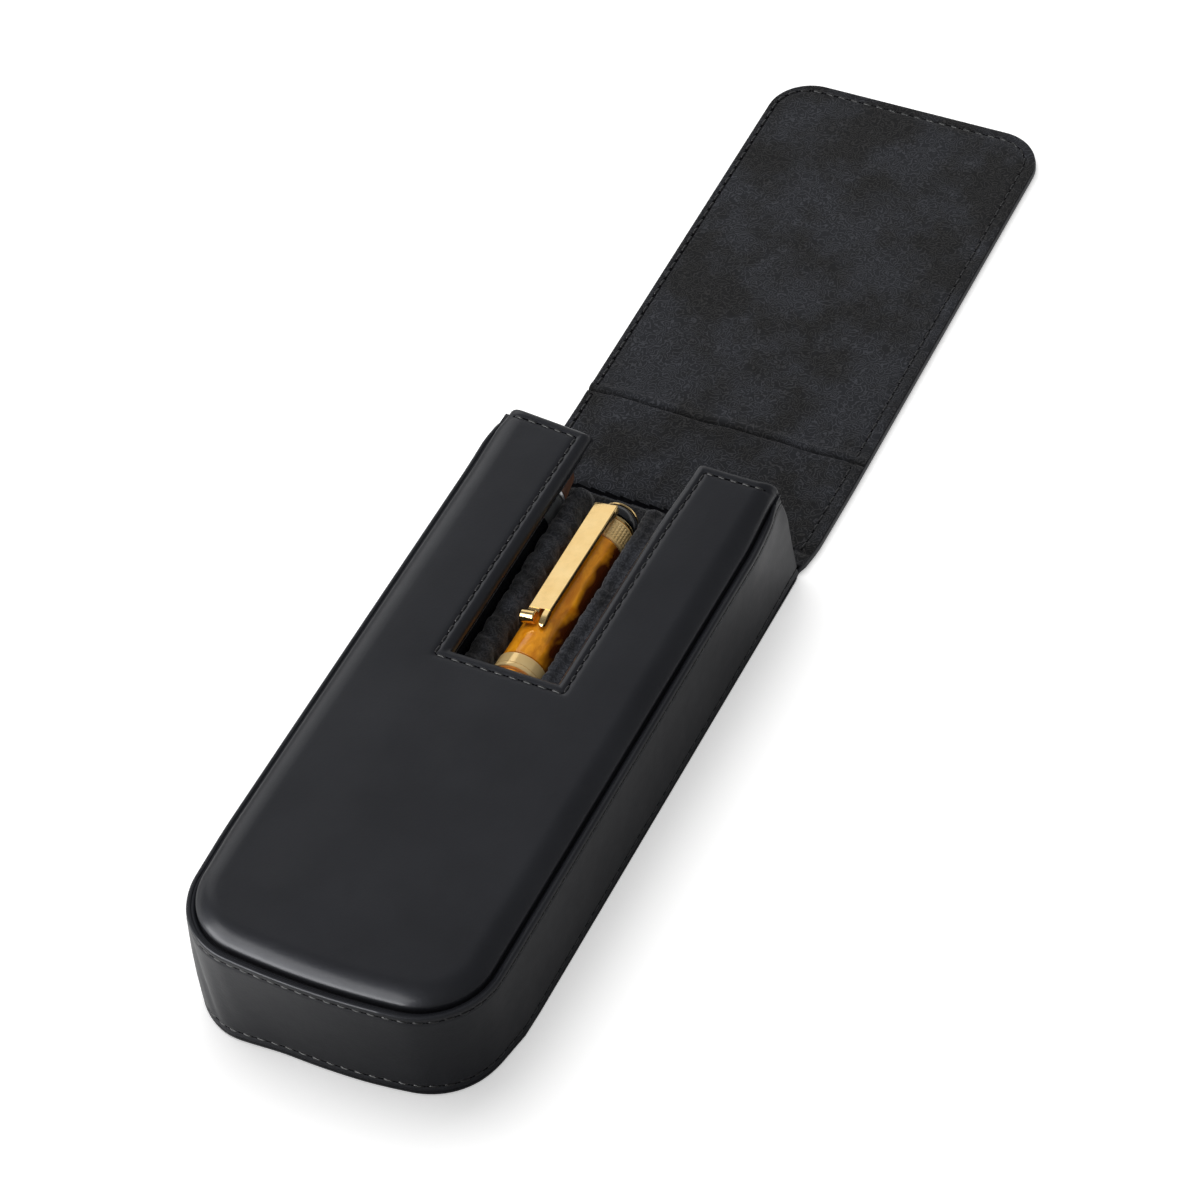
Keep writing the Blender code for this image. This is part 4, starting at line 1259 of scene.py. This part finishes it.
def build_amber_pen():
    full = PEN_RADIUS
    disc = [(0.0, 0.3), (0.0, 4.1), (0.1, 4.35), (0.3, 4.45), (0.62, 4.45), (0.65, 0.3)]
    dome = [(0.7, 0.3), (0.7, 4.1)]
    for cosine, sine in arc(DOME_START, QUARTER, math.radians(5)):
        dome.append((0.7 + 5.2 * (math.cos(DOME_START) - cosine), (full - 0.7) * sine))
    dome += [(4.5, full - 0.7)]
    ring = rounded_ends(1.0, full - 0.8, full - 0.8, 0.3)
    reach = full - 0.5
    band = [(0.0, reach - 0.4), (0.1, reach - 0.12), (0.3, reach), (0.62, reach)]
    band += [(0.7, reach - 0.06)] + [(a, reach) for a in steps(0.75, 5.45, 0.13)]
    band += [(5.5, reach - 0.06), (5.58, reach), (5.9, reach)]
    band += [(6.1, reach - 0.12), (6.2, reach - 0.4)]
    cap = rounded_ends(40.9, full - 0.4, full - 0.3, 0.25)
    lip = [(0.0, full - 0.5), (0.08, full - 0.2), (0.3, full), (3.1, full), (3.18, full - 0.12)]
    lip += [(3.34, full - 0.12), (3.42, full), (4.1, full), (4.35, full - 0.12), (4.5, full - 0.5)]
    barrel = rounded_ends(76.0, full - 0.6, full - 1.8, 0.3)
    end = [(0.0, full - 2.3), (0.1, full - 2.05), (0.3, full - 2.0), (1.2, full - 2.05)]
    end += [(1.3, full - 2.2), (1.5, full - 2.2), (1.6, full - 2.1)]
    for cosine, sine in arc(0, QUARTER, math.radians(10)):
        end.append((1.6 + 4.4 * sine, max(0.25, (full - 2.1) * cosine**0.7)))
    parts = (
        (0, "amber_finial_disc", "amber_pen_finial", disc, GOLD),
        (4.5, "amber_finial", "amber_pen_finial", dome, DARK_RESIN),
        (1.0, "amber_finial_ring", "amber_pen_finial_ring", ring, GOLD),
        (6.2, "amber_knurled_band", "amber_pen_knurled_band", band, KNURLED_GOLD, True),
        (40.9, "amber_cap", "amber_pen_cap", cap, AMBER),
        (4.5, "amber_cap_band", "amber_pen_cap_band", lip, BAND_GOLD),
        (76.0, "amber_barrel", "amber_pen_barrel", barrel, AMBER),
        (6.0, "amber_end", "amber_pen_end", end, GOLD),
    )
    build_pen("amber_pen", AMBER_X, AMBER_SETBACK, parts)


def build_dark_pen():
    full = PEN_RADIUS
    knob = [(0.0, 0.4)]
    for cosine, sine in arc(0, QUARTER, math.radians(10))[1:]:
        knob.append((1.5 * (1 - cosine), (full - 2.0) * sine))
    knob += [(t, full - 2.0 + 1.1 * (t - 1.5) / 7.3) for t in steps(1.5, 8.8, 1.0)[1:]]
    knob += [(9.0, full - 1.1)]
    ring = rounded_ends(1.3, full - 0.5, full - 0.5, 0.25)
    collar = rounded_ends(8.0, full - 0.4, full - 0.4, 0.3)
    barrel = rounded_ends(98.0, full, full - 0.8, 0.3)
    tail = [(0.0, full - 1.5), (0.1, full - 1.28), (0.4, full - 1.2)]
    for cosine, sine in arc(0, QUARTER, math.radians(9))[1:]:
        tail.append((0.4 + 17.6 * sine, max(0.4, 0.6 + (full - 1.8) * cosine**0.6)))
    parts = (
        (9.0, "dark_finial", "dark_pen_finial", knob, WOOD),
        (1.3, "dark_ring", "dark_pen_ring", ring, STEEL),
        (8.0, "dark_collar", "dark_pen_collar", collar, GREY_RESIN),
        (98.0, "dark_barrel", "dark_pen_barrel", barrel, DARK_RESIN),
        (18.0, "dark_tail", "dark_pen_end", tail, DARK_RESIN),
    )
    build_pen("dark_pen", DARK_X, DARK_SETBACK, parts)


# The amber pen's clip: a flat back with turned-down sides, forked at its tip round a small roller

CLIP_TURN = math.radians(10)
CLIP_LENGTH = 40.6
CLIP_HALF = 3.1
CLIP_LOW = PEN_RADIUS - 0.5 + 1.1
CLIP_TOP = CLIP_LOW + 1.0
CLIP_Y = -AMBER_SETBACK - (4.5 + GAP)
CLIP_TIP = CLIP_Y - CLIP_LENGTH
ROLLER_RADIUS = 1.65
ROLLER_BEVEL = 0.18
ROLLER_SIDES = 24
ROLLER_XS = (-3.2, -3.0, -2.1, -0.9, 0.2, 0.4)

# Distance along, and how far in, how far up from the low side and how far down from the top
ARM_START = ((0.75, 1.0, -0.6, 0.5), (0.4, 0.15, -0.7, 0.15), (-0.2, 0.0, -0.8, 0.0))
ARM_START += ((-2.0, 0.0, -0.8, 0.0), (-5.0, 0.0, 0.1, 0.0))

# Distance from the tip, left, right, and how far below the low side, or the top, and below the top
PRONG = ((4.7, 1.3, 2.9, 0.1, 0.05), (3.2, 1.3, 2.95, 0.4, 0.1), (1.6, 1.35, 3.0, 0.6, 0.4))
PRONG += ((0.7, 1.45, 2.95, 0.6, 0.7), (0.3, 1.6, 2.8, 0.5, 0.95), (0.1, 1.8, 2.6, 0.4, 1.2))
LEAF = ((4.7, -2.9, 0.1, 0.65, 0.05), (3.9, -2.95, 0.1, 0.8, 0.15))
LEAF += ((3.2, -2.95, 0.1, 1.2, 0.5), (2.9, -2.95, 0.1, 1.6, 0.9))


def clip_piece(name, rings, sharp=28):
    """A lofted bar, each ring a list of points across, along and up from the pen's axis."""
    turn = Matrix.Rotation(-CLIP_TURN, 3, "Y")
    points = []
    for across, along, up in (point for ring in rings for point in ring):
        offset = turn @ Vector((across, 0, up))
        points.append((AMBER_X + offset.x, along, PEN_Z + offset.z))
    piece = add_piece(name, points, tube_faces(len(rings), len(rings[0])), GOLD, sharp)
    bind(piece, "amber_pen", "amber_pen_clip")


def channel(along, half, under, over, wall=0.55, soft=0.16):
    """A ring of the arm: an upturned channel, its arrises rounded and its back flat."""
    right = [(half - soft - 0.1, over), (half - soft, over)]
    right += [(half - soft * 0.3, over - soft * 0.3), (half, over - soft), (half, under)]
    inner = [(half - wall, under), (half - wall, over - wall)]
    left = [(-x, up) for x, up in reversed(right)]
    inner += [(-x, up) for x, up in reversed(inner)]
    return [(x, along, up) for x, up in left + right + inner]


def bar(along, left, right, under, over, soft=0.15):
    corners = [(left, under), (left, over - soft), (left + soft, over)]
    corners += [(right - soft, over), (right, over - soft), (right, under)]
    return [(x, along, up) for x, up in corners]


def build_clip():
    arm = [
        channel(CLIP_Y + along, CLIP_HALF - less, CLIP_LOW + under, CLIP_TOP - over)
        for along, less, under, over in ARM_START
    ]
    for t, along in zip(steps(0, 1, 0.25), steps(CLIP_Y - 9, CLIP_TIP + 4.6, 7)):
        arm.append(channel(along, CLIP_HALF - 0.15 * t, CLIP_LOW + 0.2, CLIP_TOP))
    clip_piece("amber_clip_arm", arm)
    for name, base, rows in (
        ("amber_clip_prong", CLIP_LOW, PRONG),
        ("amber_clip_leaf", CLIP_TOP, LEAF),
    ):
        rings = [
            bar(CLIP_TIP + along, left, right, base - under, CLIP_TOP - over)
            for along, left, right, under, over in rows
        ]
        clip_piece(name, rings)
    along, up = CLIP_TIP + 1.75, PEN_RADIUS - 0.4 + 0.15 + ROLLER_RADIUS
    angles = np.linspace(0, 2 * math.pi, ROLLER_SIDES + 1)[:-1]
    wheel = []
    for across in ROLLER_XS:
        outer = across in (ROLLER_XS[0], ROLLER_XS[-1])
        reach = ROLLER_RADIUS - (ROLLER_BEVEL if outer else 0.0)
        rim = [(along + reach * math.cos(a), up + reach * math.sin(a)) for a in angles]
        wheel.append([(across, y, z) for y, z in rim])
    clip_piece("amber_clip_roller", wheel, 38)


# Floor, light and camera

FLOOR_HALF = 6.0
FLOOR_DOWN = 0.0001

# How bright the floor looks to the camera by itself, and where it starts and ends turning white
FLOOR_GLOW = 0.38
FLOOR_FADE = (0.6, 1.6)

# Painted shade on the floor that only gloss sees: how much of the floor gloss doesn't see, and where:
# right of the case, and at its back
FLOOR_GLOSS_HIDDEN = (0.05, 0.66)
FLOOR_GLOSS_X = (-0.045, 0.025)
FLOOR_GLOSS_Y = (-0.02, 0.02)
BACK_GLOSS_HIDDEN = 0.85
BACK_GLOSS_X = (-0.12, -0.06)
BACK_GLOSS_Y = (-0.17, -0.05)

# The world's plain level, and what gloss sees in it: a card, the horizon and the rest of the sky
WORLD_LEVEL = 0.40
SKY_TOP = 0.17
CARD_WAY = (-0.68, 0.58, 0.45)
CARD_EDGE = (0.950, 0.915)
HORIZON_WAY = (0.86, -0.50, 0.0)
HORIZON_EDGE = (0.22, 0.38)
HORIZON_TOP = (math.sin(math.radians(3)), math.sin(math.radians(14)))

# Name, direction, distance, size, radiance where 1 is white, and the rays that don't see the lamp
LAMPS = (
    ("key_above", (-0.30, 0.15, 0.94), 1.3, (1.2, 1.0), 3.0, "visible_glossy"),
    ("middle_front_left", (-0.42, -0.66, 0.63), 1.4, (1.5, 0.62), 4.2, "visible_diffuse"),
    ("low_front_left", (-0.52, -0.80, 0.30), 1.4, (1.7, 0.44), 9.5, "visible_diffuse"),
)

LENS = 135.0
SENSOR = 36.0
CAMERA_DISTANCE = 1098.52
CAMERA_AZIMUTH = math.radians(29.85)
CAMERA_ELEVATION = math.radians(46.92)
CAMERA_ROLL = math.radians(-6.0)
CAMERA_ASIDE = -14.49
CAMERA_UP = -16.2


def floor_look():
    """Pale, white to the camera far out, and darkened for gloss alone near the case, a painted shade
    in the case's reflections.
    """
    look = Look("pale_floor", Roughness=0.9, Specular_IOR_Level=0.0)
    low, high = (0.955, 0.953, 0.950), (0.962, 0.960, 0.957)
    look.set(Base_Color=look.ramp(look.noise(3.0, 2), (0.3, low), (0.7, high)))
    path = look.add("ShaderNodeLightPath").outputs
    seen = look.math("MAXIMUM", path["Is Camera Ray"], path["Is Transmission Ray"])
    away = look.vector("LENGTH", look.where, output="Value")
    level = look.math("MULTIPLY", seen, look.span(away, FLOOR_GLOW, 1.0, *FLOOR_FADE))
    glow = look.add("ShaderNodeEmission", Color=(1, 1, 1, 1), Strength=level)
    spot = look.add("ShaderNodeSeparateXYZ", look.where).outputs
    # Painted shade seen only in reflections: the floor right of and behind the case goes partly black
    # to gloss
    beside = look.span(spot["X"], *FLOOR_GLOSS_HIDDEN, *FLOOR_GLOSS_X)
    beside = look.math("MULTIPLY", beside, look.span(spot["Y"], 1.0, 0.45, *FLOOR_GLOSS_Y))
    behind = look.span(spot["X"], BACK_GLOSS_HIDDEN, 0.0, *BACK_GLOSS_X)
    behind = look.math("MULTIPLY", behind, look.span(spot["Y"], 0.0, 1.0, *BACK_GLOSS_Y))
    hidden = look.math("MULTIPLY", look.math("MAXIMUM", beside, behind), path["Is Glossy Ray"])
    dim = look.add("ShaderNodeMixShader", hidden, look.shader.outputs[0])
    both = look.add("ShaderNodeAddShader", dim.outputs[0], glow.outputs[0])
    look.join(both.outputs[0], look.tree.nodes["Material Output"].inputs["Surface"])
    return look.material


def build_floor():
    corners = ((-1, -1), (1, -1), (1, 1), (-1, 1))
    data = bpy.data.meshes.new("studio_floor")
    points = [(x * FLOOR_HALF, y * FLOOR_HALF, -FLOOR_DOWN) for x, y in corners]
    data.from_pydata(points, [], [(0, 1, 2, 3)])
    data.materials.append(floor_look())
    floor = bpy.data.objects.new("studio_floor", data)
    bpy.context.scene.collection.objects.link(floor)


def build_world():
    """White to the camera. Gloss sees white at the right horizon and in a card at the back left."""
    world = bpy.data.worlds.new("studio")
    bpy.context.scene.world = world
    world.use_nodes = True
    sky = Nodes(world.node_tree)
    way = sky.add("ShaderNodeTexCoord").outputs["Generated"]
    height = sky.add("ShaderNodeSeparateXYZ", way).outputs["Z"]

    def fade(value, full, none):
        return sky.span(value, 0.0, 1.0, none, full, "SMOOTHSTEP")

    def towards(aim):
        return sky.vector("DOT_PRODUCT", way, aim, output="Value")

    horizon = fade(towards(HORIZON_WAY), *HORIZON_EDGE)
    horizon = sky.math("MULTIPLY", horizon, fade(height, *HORIZON_TOP))
    white = sky.math("MAXIMUM", fade(towards(CARD_WAY), *CARD_EDGE), horizon)
    path = sky.add("ShaderNodeLightPath").outputs
    level = sky.mix(path["Is Glossy Ray"], WORLD_LEVEL, sky.span(white, SKY_TOP, 1.0), "FLOAT")
    level = sky.mix(path["Is Transmission Ray"], level, 1.0, "FLOAT")
    level = sky.mix(path["Is Camera Ray"], level, 1.0, "FLOAT")
    back = world.node_tree.nodes["Background"]
    back.inputs["Color"].default_value = (1, 1, 1, 1)
    sky.join(level, back.inputs["Strength"])


def build_lamps():
    """Soft lamps aimed at the object, one for its colours and two for its gloss."""
    for name, direction, distance, size, radiance, unseen in LAMPS:
        light = bpy.data.lights.new(name, "AREA")
        light.shape = "RECTANGLE"
        light.size, light.size_y = size
        light.energy = radiance * math.pi * size[0] * size[1]
        lamp = bpy.data.objects.new(name, light)
        bpy.context.scene.collection.objects.link(lamp)
        way = Vector(direction).normalized()
        lamp.location = way * distance
        lamp.rotation_euler = way.to_track_quat("Z", "Y").to_euler()
        setattr(lamp, unseen, False)


def build_camera():
    flat = math.cos(CAMERA_ELEVATION)
    east, north = math.sin(CAMERA_AZIMUTH) * flat, -math.cos(CAMERA_AZIMUTH) * flat
    away = Vector((east, north, math.sin(CAMERA_ELEVATION)))
    level_right = Vector((0, 0, 1)).cross(away).normalized()
    level_up = away.cross(level_right)
    right = level_right * math.cos(CAMERA_ROLL) + level_up * math.sin(CAMERA_ROLL)
    up = level_up * math.cos(CAMERA_ROLL) - level_right * math.sin(CAMERA_ROLL)
    origin = right * CAMERA_ASIDE + up * CAMERA_UP + away * CAMERA_DISTANCE
    data = bpy.data.cameras.new("camera")
    data.lens = LENS
    data.sensor_width = SENSOR
    data.clip_start = 0.01
    camera = bpy.data.objects.new("camera", data)
    bpy.context.scene.collection.objects.link(camera)
    pose = Matrix((right, up, away)).transposed().to_4x4()
    pose.translation = place([origin])[0]
    camera.matrix_world = pose
    bpy.context.scene.camera = camera


def dress_nodes():
    """Gives every solid that stays the node material of its finish."""
    for item in frame["record"]["subparts"]:
        node = bpy.data.objects.get(item["node"])
        if node and item["material_slot"] in FINISHES:
            for slot in node.material_slots:
                slot.material = FINISHES[item["material_slot"]]


for spare in ("Cube", "Light", "Camera"):
    if spare in bpy.data.objects:
        bpy.data.objects.remove(bpy.data.objects[spare], do_unlink=True)
dress_nodes()
build_camera()
build_floor()
build_world()
build_lamps()
build_front()
build_wall()
build_front_layers()
build_shell()
build_fold_boards()
build_cradle()
build_roll("left")
build_roll("right")
build_wall_seams()
build_window_seam()
build_flap_seams()
build_amber_pen()
build_clip()
build_dark_pen()
bpy.context.scene.view_settings.view_transform = "Standard"
